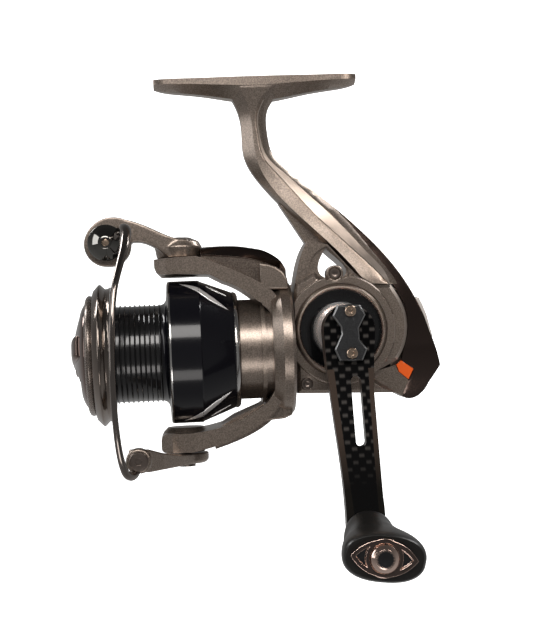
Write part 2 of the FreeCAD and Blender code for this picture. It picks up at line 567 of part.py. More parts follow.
def knob_frame():
    """Eye-shaped end plate, with a round seat for the cap and an opening on each side of it."""
    base, face = KNOB_BASE_Y - 31.1, KNOB_BASE_Y - 33.1
    plate = fuse(prism(lens(9.0, 4.9), face, base), knob_ring(31.1, 33.1, 5.2))
    plate = plate.cut(prism(lens(7.6, 3.6), face - 1, base - 0.8).cut(knob_ring(30, 36, 5.0)))
    return turned_knob(plate.cut(knob_ring(30, 34, 3.9)))


def knob_cap():
    profile = [(32.4, 0), (32.4, 3.9), (33.9, 3.7), (34.9, 2.6), (35.2, 0)]
    return turned([(KNOB_BASE_Y - depth, r) for depth, r in profile], "Y", (CRANK_X, KNOB_Z))


# ---- rotor ----------------------------------------------------------------------------------------
ROTOR_OUTER = [(-34.6, -57.3), (-21.3, -56.9), ("curve", (-13.4, -60.1), (-6.4, -63.4), (0.4, -67.2)),
               ("curve", (4.1, -71.7), (5.9, -77.0), (7.0, -84.0), (7.0, -91.0), (5.7, -98.8), (0.8, -107.6)),
               ("curve", (-8.7, -113.6), (-18.4, -117.0), (-25.0, -118.4)), (-33.4, -118.4),
               ("arc", (-34.2, -118.0), (-34.6, -117.2))]
ROTOR_INNER = [(-34.6, -114.8), ("arc", (-33.9, -113.1), (-32.2, -112.4)), (-25.0, -112.4),
               ("curve", (-15.8, -110.9), (-9.0, -108.6), (-1.8, -104.6)),
               ("curve", (1.2, -101.0), (3.2, -94.0), (3.6, -87.0), (3.0, -80.0), (0.6, -74.6)),
               ("curve", (-3.4, -71.0), (-8.0, -67.6), (-12.8, -65.4)), (-17.3, -62.9), (-27.4, -62.3),
               (-32.0, -62.3), ("arc", (-33.8, -61.5), (-34.6, -59.7))]
ARM_HALF = 12.6
UPPER_COVER = [(-19.8, -53.9), ("curve", (-8.4, -53.7), (-0.7, -55.2), (3.2, -57.0), (6.7, -59.9),
                                (7.6, -62.6)),
               (7.2, -66.6), (0.6, -66.6), ("curve", (-6.4, -62.8), (-13.4, -59.5), (-19.8, -56.9))]
LOWER_COVER = [(-17.6, -118.0), ("curve", (-8.7, -115.0), (0.8, -109.4), (4.4, -105.4), (7.0, -101.0)),
               (5.0, -99.0), (-4.0, -104.0), (-17.6, -112.0)]
COVER_SCREW_X = -3.0
LOW_SCREW_SEAT = -110.6         # seat of the lower cover's screw
POCKETS = ((-5.8, -0.4), (1.6, 5.4))


def rotor_solid():
    """Drum, rear flange and two arms in one casting, with a pocket in each arm."""
    band = prism(ROTOR_OUTER + ROTOR_INNER, -ARM_HALF, ARM_HALF)
    plan = [(-34.6, -8.0), (-31.0, -11.4), (-24.0, -ARM_HALF), (9.0, -ARM_HALF), (9.0, ARM_HALF),
            (-24.0, ARM_HALF), (-31.0, 11.4), (-34.6, 8.0)]
    band = band.common(prism(plan, -130, -40, "XY"))
    room = turned([(-60, 0), (-60, 23.9), (-14.2, 23.9), (-1.2, 19.2), (-1.2, 0)])
    flange = turned([(1.6, 13.6), (1.6, 19.6), (4.6, 21.6), (7.4, 21.6), (ROTOR_REAR_X, 20.6),
                     (ROTOR_REAR_X, 13.6)])
    drum = turned([(DRUM_FRONT_X, 13.6), (DRUM_FRONT_X, 15.4), (DRUM_FRONT_X + 0.6, DRUM_R), (-1.9, DRUM_R),
                   (-1.9, 17.3), (-0.6, 17.3), (-0.6, DRUM_R), (3.0, DRUM_R), (3.0, 13.6), (-5.6, 13.6),
                   (-5.6, 3.2), (-8.6, 3.2), (-8.6, 13.6)])
    core = turned([(-5.6, 0), (-5.6, 13.6), (10.0, 13.6), (10.0, 0)])
    boss = [ring(-63.0, -57.1, BOSS_R, 0, "Z", (BAIL_X, 0), 1.4),
            ring(-118.9, -111.0, BOSS_R, 0, "Z", (BAIL_X, 0), 1.4)]
    solid = fuse(band, boss[0], boss[1]).cut(room).cut(core)
    solid = fuse(solid, flange, drum)
    pockets = [box(-16.6, -5.8, y0, y1, -61.0, -54.0) for y0, y1 in POCKETS]
    pockets += [box(-16.4, -8.4, y0, y1, -120.0, -112.2) for y0, y1 in POCKETS]
    holes = [ring(-62.2, -50, 1.8, 0, "Z", (BAIL_X, 0)), ring(-125, -112.6, 1.8, 0, "Z", (BAIL_X, 0)),
             ring(-9, -5, 0.8, 0, "X", (LOCK_Y, AXIS_Z)),
             ring(-67.2, -50, 0.8, 0, "Z", (COVER_SCREW_X, 0)),
             ring(-120, -106.9, 0.8, 0, "Z", (COVER_SCREW_X, 0)),
             ring(-120, LOW_SCREW_SEAT, 2.0, 0, "Z", (COVER_SCREW_X, 0))]
    for hole in pockets + holes:
        solid = solid.cut(hole)
    return solid.removeSplitter()


def upper_arm_cover():
    """Cover over the bail spring and kick lever: its sides slope in towards the top."""
    solid = prism(UPPER_COVER, -ARM_HALF, ARM_HALF)
    solid = solid.common(prism([(-ARM_HALF, -66.6), (ARM_HALF, -66.6), (7.0, -53.7), (-7.0, -53.7)], -30,
                               20, "YZ"))
    solid = solid.cut(rotor_solid()).cut(ring(-70, -50, 8.1, 0, "Z", (BAIL_X, 0)))
    for y0, y1 in POCKETS:
        solid = solid.cut(box(-16.6, -5.8, y0, y1, -62.7, -55.6))
    at = (COVER_SCREW_X, 0)
    return solid.cut(ring(-56.3, -51.7, 2.0, 0, "Z", at)).cut(ring(-71.6, -53.7, 0.8, 0, "Z", at))


def lower_arm_cover():
    """Thin plate along the outside of the lower arm, over the balance weights."""
    solid = prism(LOWER_COVER, -8.6, 8.6).cut(prism(ROTOR_OUTER + ROTOR_INNER, -ARM_HALF, ARM_HALF))
    solid = solid.cut(turned([(-30, 0), (-30, 23.9), (-14.2, 23.9), (-1.2, 19.2), (1.6, 21.7), (20, 21.7),
                              (20, 0)]))
    at = (COVER_SCREW_X, 0)
    return solid.cut(ring(-120, LOW_SCREW_SEAT, 2.0, 0, "Z", at)).cut(ring(-120, -100, 0.8, 0, "Z", at))


def z_screw(x, y, head_z, step, length, head_r=1.7, shank_r=0.8):
    """A cross-slot screw along Z. `step` is +1 if its head faces up."""
    lo, hi = sorted((head_z, head_z + step * 1.2))
    head = ring(lo, hi, head_r, 0, "Z", (x, y), 0.25)
    lo, hi = sorted((head_z, head_z - step * length))
    shank = ring(lo, hi, shank_r, 0, "Z", (x, y))
    face = head_z + step * 1.2
    lo, hi = sorted((face - step * 0.5, face + step))
    slot = fuse(box(x - 0.2, x + 0.2, y - 1.1, y + 1.1, lo, hi),
                box(x - 1.1, x + 1.1, y - 0.2, y + 0.2, lo, hi))
    return fuse(head, shank).cut(slot)


def rotor_screws():
    """Arm cover screws and the small screw that locks the rotor nut."""
    top = z_screw(COVER_SCREW_X, 0, -56.2, 1, 10.8)
    low = z_screw(COVER_SCREW_X, 0, LOW_SCREW_SEAT, -1, 3.6)
    lock = fuse(ring(-10.4, -9.2, 1.5, 0, "X", (LOCK_Y, AXIS_Z)),
                ring(-9.2, -6.2, 0.8, 0, "X", (LOCK_Y, AXIS_Z)))
    return [top, low, lock]


def pinion_gear():
    """Hollow pinion: thread for the rotor nut, long barrel, teeth, rear journal."""
    body = turned([(-12.4, 0), (-12.4, 2.7), (-12.2, 2.9), (-8.7, 2.9), (-8.6, 3.2), (9.0, 3.2), (9.0, 2.2),
                   (SUPPORT_X + 2.2, 2.2), (SUPPORT_X + 2.2, 0)])
    outline = gear_outline(PINION_TEETH, PINION_PITCH_R, 0.42, 0.62, 0.08, PINION_PHASE)
    teeth = prism([(u, AXIS_Z + v) for u, v in outline], 9.0, 12.9, "YZ")
    return fuse(body, teeth).cut(ring(-13, 20, MAIN_SHAFT_R + RUN))


def rotor_nut():
    hexagon = [(u, AXIS_Z + v) for _, u, v in on_circle(6, 5.6, 30)]
    rim = turned([(-11.6, 0), (-11.6, 5.0), (-10.9, 6), (-8.7, 6), (-8.7, 0)])
    nut = prism(hexagon, -11.6, -8.7, "YZ").common(rim)
    return nut.cut(ring(-13, -8, 2.9))


def nut_lock():
    """Thin plate with one straight edge against a flat of the rotor nut."""
    flat = 5.6 * math.cos(math.radians(30))
    plate = box(-9.2, -8.6, flat, 9.4, AXIS_Z - 2.6, AXIS_Z + 2.6)
    return plate.cut(ring(-10, -8, 0.8, 0, "X", (LOCK_Y, AXIS_Z)))


def clutch_sleeve():
    return ring(-5.4, 3.9, SLEEVE_R, 3.2, chamfer=0.2)


def kick_lever():
    """Bar in the upper arm that trips the bail, with a bent end."""
    return fuse(box(-16.4, -6.0, 2.0, 3.8, -60.8, -59.4), box(-16.4, -15.0, 2.0, 5.0, -60.8, -57.8))


def coil(x0, x1, y, z, radius, thick, turns):
    """A coil spring along X, swept along points of a helix."""
    points = []
    for i in range(12 * turns + 1):
        angle = 2 * math.pi * i / 12
        points.append((x0 + (x1 - x0) * i / (12 * turns), y + radius * math.cos(angle),
                       z + radius * math.sin(angle)))
    return swept(points, thick)


def bail_spring():
    return coil(-16.0, -6.4, -3.1, -58.6, 1.9, 0.3, 8)


def balance_weights():
    """A brass slug in each pocket of the lower arm."""
    outline = [(-16.2, -112.2), (-8.6, -112.2), (-8.6, -113.2), (-16.2, -115.8)]
    return [prism(outline, y0, y1) for y0, y1 in POCKETS]


# ---- bail -----------------------------------------------------------------------------------------
WIRE_PATH = [(-46.4, -11.8, -50.2), (-43.9, -15.2, -48.6), (-42.8, -19.6, -49.9), (-43.2, -24.8, -54.2),
             (-44.8, -30.0, -60.2), (-46.2, -33.8, -66.6), (-47.1, -36.6, -75.6), (-47.7, -37.9, -88.0),
             (-47.7, -37.6, -99.5),
             (-47.3, -36.4, -109.0), (-46.6, -34.6, -116.4), (-45.3, -32.4, -121.6), (-43.8, -30.4, -123.4),
             (-42.4, -28.0, -123.2), (-41.4, -25.2, -121.4)]
ROLLER_AT = (-49.3, -51.6)
HOLDER_END = (-41.4, -27.0, -118.9)


def swept(points, radius):
    spline = Part.BSplineCurve()
    spline.interpolate([Vec(*p) for p in points])
    path = Part.Wire(spline.toShape())
    tangent = spline.tangent(spline.FirstParameter)[0]
    section = Part.Wire(Part.makeCircle(radius, Vec(*points[0]), tangent))
    return path.makePipeShell([section], True, True)


def bail_arm():
    """Upper arm: hub with a domed top, and a blade forward to the roller."""
    hub = turned([(-56.8, 0), (-56.8, 7.0), (-53.4, 7.6), (-51.6, 6.6), (-50.2, 3.6), (-50.0, 0)], "Z",
                 (BAIL_X, 0))
    side = [(-24.0, -51.0), ("curve", (-28.2, -50.4), (-33.5, -48.0), (-37.7, -46.0), (-43.1, -44.2)),
            ("arc", (-50.6, -43.9), (-56.2, -50.0)), ("arc", (-54.6, -56.6), (-49.0, -58.9)),
            ("arc", (-43.4, -56.8), (-41.6, -51.6)),
            ("curve", (-38.2, -51.6), (-33.8, -53.6), (-30.0, -56.8)),
            (-24.0, -56.8)]
    plan = [(-22.0, -6.0), (-22.0, 6.0), (-30.0, 6.0), ("curve", (-40.0, 1.2), (-50.0, -2.2), (-58.0, -3.2)),
            (-58.0, -7.0), ("curve", (-49.0, -6.6), (-38.0, -6.8), (-30.0, -6.8))]
    blade = prism(side, -8, 8).common(prism(plan, -60, -40, "XY"))
    solid = fuse(hub, blade)
    solid = solid.cut(ring(-60, -49, 1.8 + RUN, 0, "Z", (BAIL_X, 0)))
    solid = solid.cut(ring(-52.4, -45, 3.1, 0, "Z", (BAIL_X, 0)))
    return solid.cut(ring(-12, 2, 1.2, 0, "Y", ROLLER_AT)).cut(ring(-2.0, 5.0, 2.2, 0, "Y", ROLLER_AT))


def bail_pivot_screws():
    """Shoulder screws in the rotor; the bail turns on their plain shanks."""
    solids = []
    for head, shank_end, step in ((-52.1, -61.6, 1), (-122.3, -113.2, -1)):
        lo, hi = sorted((head, head + step * 1.4))
        shank_lo, shank_hi = sorted((shank_end, head))
        body = fuse(ring(lo, hi, 2.7, 0, "Z", (BAIL_X, 0)),
                    ring(shank_lo, shank_hi, 1.8, 0, "Z", (BAIL_X, 0)))
        slot_lo, slot_hi = sorted((head + step * 0.8, head + step * 3))
        solids.append(body.cut(box(BAIL_X - 3, BAIL_X + 3, -0.4, 0.4, slot_lo, slot_hi)))
    return solids


def line_roller():
    return turned([(-9.9, 1.26), (-9.9, 3.9), (-9.3, 3.9), (-8.7, 3.0), (-8.0, 3.0), (-7.6, 3.9), (-7.3, 3.9),
                   (-7.3, 1.26)], "Y", ROLLER_AT)


def roller_cone():
    """Polished cone outside the roller; the wire grows out of its flank."""
    return turned([(-10.2, 1.2), (-10.2, 5.7), (-11.0, 5.7), (-12.4, 3.6), (-13.6, 1.9), (-13.6, 1.2)], "Y",
                  ROLLER_AT).cut(ring(-14, -12.9, 1.2, 0, "Y", ROLLER_AT)).cut(swept(WIRE_PATH, WIRE_R))


def roller_screw():
    return fuse(ring(-12.9, -2.0, 1.2, 0, "Y", ROLLER_AT), ring(-2.0, -0.9, 2.2, 0, "Y", ROLLER_AT, 0.25))


def bail_wire():
    return swept(WIRE_PATH, WIRE_R).cut(ring(-13.0, -8.0, 3.0, 0, "Y", ROLLER_AT))


def bail_holder():
    """Lower lever that carries the far end of the wire."""
    hub = turned([(-119.3, 0), (-119.3, 7.0), (-121.6, 7.0), (-122.6, 6.0), (-122.6, 0)], "Z", (BAIL_X, 0))
    x, y, z = HOLDER_END
    sections = [(-27.5, -1.5, -120.9, 5.4, 1.5), (-32.0, -11.0, -120.6, 4.2, 1.8),
                (-37.0, -19.5, -119.8, 3.6, 2.6),
                (x, y + 2.0, z, 3.6, 3.6)]
    wires = []
    for sx, sy, sz, wide, tall in sections:
        along = Vec(x - BAIL_X, y, 0).normalize()
        across = Vec(-along.y, along.x, 0)
        corners = [(-wide, -tall), (wide, -tall), (wide, tall), (-wide, tall)]
        points = [Vec(sx, sy, sz) + across * a + Vec(0, 0, 1) * b for a, b in corners]
        wires.append(Part.makePolygon(points + [points[0]]))
    lever = Part.makeLoft(wires, True, True)
    end = ring(y - 0.6, y + 4.0, 3.9, 0, "Y", (x, z), 0.4)
    solid = fuse(hub, lever.cut(ring(-119.2, -100, 9.0, 0, "Z", (BAIL_X, 0))), end)
    solid = solid.cut(ring(-125, -118, 1.8 + RUN, 0, "Z", (BAIL_X, 0)))
    solid = solid.cut(ring(-126, -121.0, 3.1, 0, "Z", (BAIL_X, 0)))
    solid = solid.cut(ring(y - 3, y + 4.1, 1.1, 0, "Y", (x, z)))
    return solid.cut(swept(WIRE_PATH, WIRE_R))


def wire_screw():
    x, y, z = HOLDER_END
    return screw(x, z, y - 2.4, 4.6, 3.0, 1.8, 1.1, 1.1)


# ---- spool ----------------------------------------------------------------------------------------
def spool():
    """Arbor with fine line grooves, front rim, stepped and tapered skirt, drag well in front."""
    grooves = []
    x = -48.4
    while x < -32.4:
        grooves += [(x, ARBOR_R), (x + 0.55, ARBOR_R + 0.45), (x + 1.1, ARBOR_R + 0.45), (x + 1.65, ARBOR_R)]
        x += 1.9
    profile = [(-50.0, 13.4), (-50.0, 20.6), (-49.4, 20.6), (-49.0, 16.6)] + grooves + \
        [(-31.4, ARBOR_R), (-31.0, 17.0), (-30.9, SKIRT_R - 0.5), (SKIRT_FRONT_X, SKIRT_R),
         (-28.9, SKIRT_R), (-28.6, SKIRT_R - 0.4), (-26.6, SKIRT_R - 0.4), (-26.2, SKIRT_R),
         (SKIRT_BEND_X, SKIRT_R),
         (-20.2, SKIRT_R - 0.6), (-10.2, SKIRT_REAR_R + 0.5), (-9.9, SKIRT_REAR_R + 0.1),
         (SKIRT_REAR_X, SKIRT_REAR_R), (SKIRT_REAR_X, SKIRT_REAR_R - 1.1), (-20.8, SKIRT_R - 2.0),
         (-28.0, SKIRT_R - 2.0), (-28.0, 14.2), (-26.2, 13.0), (-26.2, HUB_R), (-35.0, HUB_R), (-35.0, 13.4)]
    solid = turned(profile)
    for angle, u, v in on_circle(12, 17.6, 15):
        solid = solid.cut(ring(-32, -27, 1.7, 0, "X", (u, AXIS_Z + v)))
    return solid


def spool_lip():
    """Ridged metal ring screwed round the front rim; line slips off over it."""
    return turned([(-49.4, 20.6), (-50.0, 20.6), (-50.0, 18.9), (-53.4, 18.9), (-53.8, 19.6), (-54.6, 20.2),
                   (-54.4, 20.8), (-52.8, 22.5), (-52.4, 22.75), (-52.0, 22.6), (-50.6, 21.2), (-49.6, 21.4),
                   (-49.0, 21.9), (-48.8, 21.4), (-49.0, 20.6)])


def line_clip():
    """Small clip for the line's end, on the far side of the skirt."""
    return ring(SKIRT_R - 0.6, SKIRT_R + 0.5, 2.2, 0, "Y", (-23.6, AXIS_Z)).cut(ring(-30, -18, SKIRT_R))


def drag_stack():
    """Friction washers and metal plates in the spool's drag well."""
    discs, x = [], -35.0
    for i in range(5):
        thick = 1.2 if i % 2 == 0 else 0.8
        discs.append(ring(x - thick, x, 13.1 if i % 2 == 0 else 12.9, 5.4))
        x -= thick
    return discs


def drag_retainer():
    """Spring clip that keeps the drag stack in its well."""
    clip = ring(-41.2, -40.4, 13.4, 12.0)
    return clip.cut(box(-42, -40, -1.6, 1.6, AXIS_Z + 8, AXIS_Z + 15))


# ---- main shaft and oscillation slider -----------------------------------------------------------
def main_shaft():
    """Shaft on which the spool sits; threaded front end inside the drag knob."""
    rear = OSC_X + 2.6
    return turned([(-56.4, 0), (-56.4, 1.3), (-56.1, MAIN_SHAFT_R), (rear, MAIN_SHAFT_R), (rear, 0)])


def spool_sleeve():
    """Sleeve fixed to the shaft; the spool turns on it. Its rear flange is toothed for the clicker."""
    solid = turned([(-35.6, MAIN_SHAFT_R), (-35.6, HUB_R - RUN), (-25.8, HUB_R - RUN), (-25.8, 7.4),
                    (-24.6, 7.4), (-24.6, MAIN_SHAFT_R)])
    points = []
    for angle, u, v in on_circle(24, 1.0, 0):
        for r, shift in ((5.4, 0.0), (6.2, 4.0), (6.2, 8.0), (5.4, 12.0)):
            a = math.radians(angle + shift)
            points.append((r * math.cos(a), AXIS_Z + r * math.sin(a)))
    teeth = prism(points, -24.6, -23.2, "YZ").cut(ring(-25, -23, MAIN_SHAFT_R))
    return fuse(solid, teeth)


def slider_block():
    """Block on the rear of the main shaft; its slot is open at the top."""
    solid = box(OSC_X - 2.8, OSC_X + 2.8, -2.9, 1.9, OSC_Z - 7.8, AXIS_Z + 2.0)
    solid = solid.cut(box(OSC_X - 1.2, OSC_X + 1.2, -3.0, -1.8, OSC_Z - 7.0, AXIS_Z + 3.0))
    return solid.cut(ring(0, 60, MAIN_SHAFT_R)).cut(ring(0, 60, 1.0 + RUN, 0, "X", (0, ROD_Z)))


def guide_rod():
    return ring(SUPPORT_X + 0.4, ROD_END_X, 1.0, 0, "X", (0, ROD_Z))


# ---- drag knob ------------------------------------------------------------------------------------
def turned_bar(shape):
    return shape.rotated(Vec(0, 0, AXIS_Z), Vec(1, 0, 0), BAR_TURN)


KNOB_DOME = [(-57.1, 18.3), (-57.6, 16.4), (-58.8, 13.0), (-59.8, 9.6), (-60.6, 5.4), (-60.9, 0)]


def drag_knob():
    """Stepped ring and dome of the drag knob, with a window on each side of the grip bar."""
    solid = turned([(-53.0, 12.2), (-53.0, 18.4), (-53.6, 18.4), (-54.9, 19.2), (-56.0, 19.4)] + KNOB_DOME +
                   [(-58.4, 0), (-58.2, 6.0), (-57.0, 10.6), (-55.6, 12.2)])
    solid = fuse(solid, ring(-58.6, -50.4, 4.8))
    for side in (-1, 1):
        window = [(-5.6, AXIS_Z + side * 5.0), (5.6, AXIS_Z + side * 5.0), (8.6, AXIS_Z + side * 6.6),
                  (6.4, AXIS_Z + side * 11.0), (0.0, AXIS_Z + side * 12.6), (-6.4, AXIS_Z + side * 11.0),
                  (-8.6, AXIS_Z + side * 6.6)]
        floor = turned([(-59.2, 0), (-57.4, 14), (-50, 14), (-50, 0)])
        solid = solid.cut(turned_bar(prism(window, -62, -58.0, "YZ").cut(floor)))
    return solid.cut(ring(-56.6, -50, MAIN_SHAFT_R + RUN))


def knob_bar():
    """Central grip bar of the drag knob."""
    plan = [(-59.0, -13.4), (-60.2, -12.4), (-61.7, -9.0), (-61.9, -3.6), (-61.9, 3.6), (-61.7, 9.0),
            (-60.2, 12.4), (-59.0, 13.4)]
    bar = prism(plan, AXIS_Z - 3.8, AXIS_Z + 3.8, "XY").cut(turned([(-50, 0), (-50, 18.3)] + KNOB_DOME))
    return turned_bar(bar)


def drag_spring():
    """Spring under the drag knob, wound round its post."""
    return coil(-56.2, -44.2, 0, AXIS_Z, 6.0, 0.5, 5)


def pressure_plate():
    """Plate that carries the spring's push to the drag stack."""
    return turned([(-43.4, MAIN_SHAFT_R), (-43.4, 9.0), (-42.0, 10.6), (-41.2, 11.4), (-40.5, 11.4),
                   (-40.5, MAIN_SHAFT_R)])


# ---- write every node -----------------------------------------------------------------------------
export("body_housing", housing())
export("side_cover", side_cover())
export("side_cup", side_cup())
export("side_ring", side_ring())
export("rear_cover", rear_cover())
export("rear_trim", rear_trim())
export("rear_accent", rear_accent())
export("body_screws", *body_screws())
export("far_cap", far_cap())
export("pinion_retainer", pinion_retainer())
export("clutch_housing", clutch_housing())
export("clutch_rollers", *clutch_rollers())
export("guide_rod", guide_rod())
near_outer, near_inner, near_balls = bearing(-9.4, -6.4, 6.0, DRIVE_TUBE_R, "Y", (CRANK_X, CRANK_Z))
far_outer, far_inner, far_balls = bearing(6.2, 8.8, 6.0, DRIVE_TUBE_R, "Y", (CRANK_X, CRANK_Z))
pin_outer, pin_inner, pin_balls = bearing(4.0, 8.0, 7.0, 3.2, "X", (0.0, AXIS_Z))
export("bearing_outer_rings", near_outer, far_outer, pin_outer)
export("bearing_balls", *(near_balls + far_balls + pin_balls))
export("drive_bearing_inner", near_inner, far_inner)
export("pinion_bearing_inner", pin_inner)
export("drive_gear", drive_gear())
export("osc_drive_gear", osc_drive_gear())
export("osc_gear", osc_gear())
export("handle_shaft", handle_shaft())
export("drive_collar", drive_collar())
export("handle_arm", handle_arm())
export("arm_clamp_plate", arm_clamp_plate())
export("arm_screws", *arm_screws())
export("knob_pin", knob_pin())
export("knob_grip", knob_grip())
export("knob_frame", knob_frame())
export("knob_cap", knob_cap())
export("rotor", rotor_solid())
export("upper_arm_cover", upper_arm_cover())
export("lower_arm_cover", lower_arm_cover())
export("rotor_screws", *rotor_screws())
export("pinion_gear", pinion_gear())
export("rotor_nut", rotor_nut())
export("nut_lock", nut_lock())
export("clutch_sleeve", clutch_sleeve())
export("kick_lever", kick_lever())
export("bail_spring", bail_spring())
export("balance_weights", *balance_weights())
export("bail_pivot_screws", *bail_pivot_screws())
export("bail_arm", bail_arm())
export("line_roller", line_roller())
export("roller_cone", roller_cone())
export("roller_screw", roller_screw())
export("bail_wire", bail_wire())
export("bail_holder", bail_holder())
export("wire_screw", wire_screw())
export("spool", spool())
export("spool_lip", spool_lip())
export("line_clip", line_clip())
export("drag_stack", *drag_stack())
export("drag_retainer", drag_retainer())
export("main_shaft", main_shaft())
export("spool_sleeve", spool_sleeve())
export("slider_block", slider_block())
export("drag_knob", drag_knob())
export("knob_bar", knob_bar())
export("drag_spring", drag_spring())
export("pressure_plate", pressure_plate())
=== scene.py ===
import math

import bmesh
import bpy
from mathutils import Matrix, Vector
from mathutils.bvhtree import BVHTree


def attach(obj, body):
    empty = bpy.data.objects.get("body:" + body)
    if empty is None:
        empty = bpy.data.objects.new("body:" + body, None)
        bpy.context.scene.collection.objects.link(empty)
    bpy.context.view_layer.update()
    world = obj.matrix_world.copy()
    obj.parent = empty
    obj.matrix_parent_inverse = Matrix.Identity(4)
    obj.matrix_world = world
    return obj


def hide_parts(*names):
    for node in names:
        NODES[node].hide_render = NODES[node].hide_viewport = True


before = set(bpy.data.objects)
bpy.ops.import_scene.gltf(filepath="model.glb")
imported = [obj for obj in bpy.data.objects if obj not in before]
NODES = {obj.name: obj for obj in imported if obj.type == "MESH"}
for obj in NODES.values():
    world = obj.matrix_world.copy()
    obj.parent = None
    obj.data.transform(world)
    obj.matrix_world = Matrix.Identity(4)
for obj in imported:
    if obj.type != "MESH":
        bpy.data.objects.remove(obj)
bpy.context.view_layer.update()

MM = 0.001
WELD_GAP = 0.002 * MM

# Axes, in millimetres. The spool's runs along X, the bail hub's along Z, and the others along Y.
AXIS_Z = -87.0
CRANK = (23.4, -82.0)
KNOB = (23.4, -141.5)
BAIL_X = -26.7
ROLLER = (-49.3, -51.6)


# ---- materials ----------------------------------------------------------------------------------
# The noise values that give the darkest and the lightest grain, and how much further the light side goes.
GRAIN_DARK_AT, GRAIN_LIGHT_AT, GRAIN_LIGHTER = 0.38, 0.66, 1.6
# How far grain lowers and raises the roughness, and the least that it leaves.
SMOOTHER, ROUGHER, SMOOTHEST = 0.05, 0.06, 0.02
STREAK_ROUND = 0.05
RELIEF = 0.02 * MM


def material(name, color, metallic, roughness, coat=0.0, coat_roughness=0.08, grain=0.0,
             grain_scale=900.0, bump=0.0, streak=0.0, specular=0.5):
    """A Principled material; `grain` varies colour and roughness finely, `streak` runs round X."""
    mat = bpy.data.materials.new(name)
    mat.use_nodes = True
    tree = mat.node_tree
    shader = tree.nodes["Principled BSDF"]
    shader.inputs["Base Color"].default_value = (*color, 1.0)
    shader.inputs["Metallic"].default_value = metallic
    shader.inputs["Roughness"].default_value = roughness
    shader.inputs["Specular IOR Level"].default_value = specular
    shader.inputs["Coat Weight"].default_value = coat
    shader.inputs["Coat Roughness"].default_value = coat_roughness
    if grain or bump or streak:
        coords = tree.nodes.new("ShaderNodeTexCoord")
        noise = tree.nodes.new("ShaderNodeTexNoise")
        noise.inputs["Scale"].default_value = grain_scale
        noise.inputs["Detail"].default_value = 3.0
        tree.links.new(coords.outputs["Object"], noise.inputs["Vector"])
        if streak:
            mapping = tree.nodes.new("ShaderNodeMapping")
            mapping.inputs["Scale"].default_value = (streak, STREAK_ROUND, STREAK_ROUND)
            tree.links.new(coords.outputs["Object"], mapping.inputs["Vector"])
            tree.links.new(mapping.outputs["Vector"], noise.inputs["Vector"])
    if grain:
        ramp = tree.nodes.new("ShaderNodeValToRGB")
        dark = tuple(c * (1 - grain) for c in color)
        light = tuple(min(1.0, c * (1 + grain * GRAIN_LIGHTER)) for c in color)
        ramp.color_ramp.elements[0].position = GRAIN_DARK_AT
        ramp.color_ramp.elements[0].color = (*dark, 1.0)
        ramp.color_ramp.elements[1].position = GRAIN_LIGHT_AT
        ramp.color_ramp.elements[1].color = (*light, 1.0)
        tree.links.new(noise.outputs["Fac"], ramp.inputs["Fac"])
        tree.links.new(ramp.outputs["Color"], shader.inputs["Base Color"])
        spread = tree.nodes.new("ShaderNodeMapRange")
        spread.inputs["To Min"].default_value = max(SMOOTHEST, roughness - SMOOTHER)
        spread.inputs["To Max"].default_value = roughness + ROUGHER
        tree.links.new(noise.outputs["Fac"], spread.inputs["Value"])
        tree.links.new(spread.outputs["Result"], shader.inputs["Roughness"])
    if bump:
        relief = tree.nodes.new("ShaderNodeBump")
        relief.inputs["Strength"].default_value = bump
        relief.inputs["Distance"].default_value = RELIEF
        tree.links.new(noise.outputs["Fac"], relief.inputs["Height"])
        tree.links.new(relief.outputs["Normal"], shader.inputs["Normal"])
    return mat


TOW = 1.93
TOW_SHARPNESS = 1.7
WEAVE_FULL_Z, WEAVE_GONE_Z = -112.0, -128.0
TOW_BLACK, TOW_GREY, TOW_BLACK_UP_TO = (0.0012, 0.0012, 0.0014), (0.052, 0.048, 0.045), 0.05
# Each edge of the crank arm is a line in XZ: its x at z = 0, and its change in x per millimetre of z.
ARM_LEFT, ARM_RIGHT = (10.644, -0.058), (31.538, 0.018)
BEVEL_LEFT, BEVEL_RIGHT, BEVEL_TOP_Z = 1.9, 1.6, -93.5
BEVEL_DARK, BEVEL_BROWN = (0.006, 0.005, 0.004), (0.046, 0.033, 0.026)


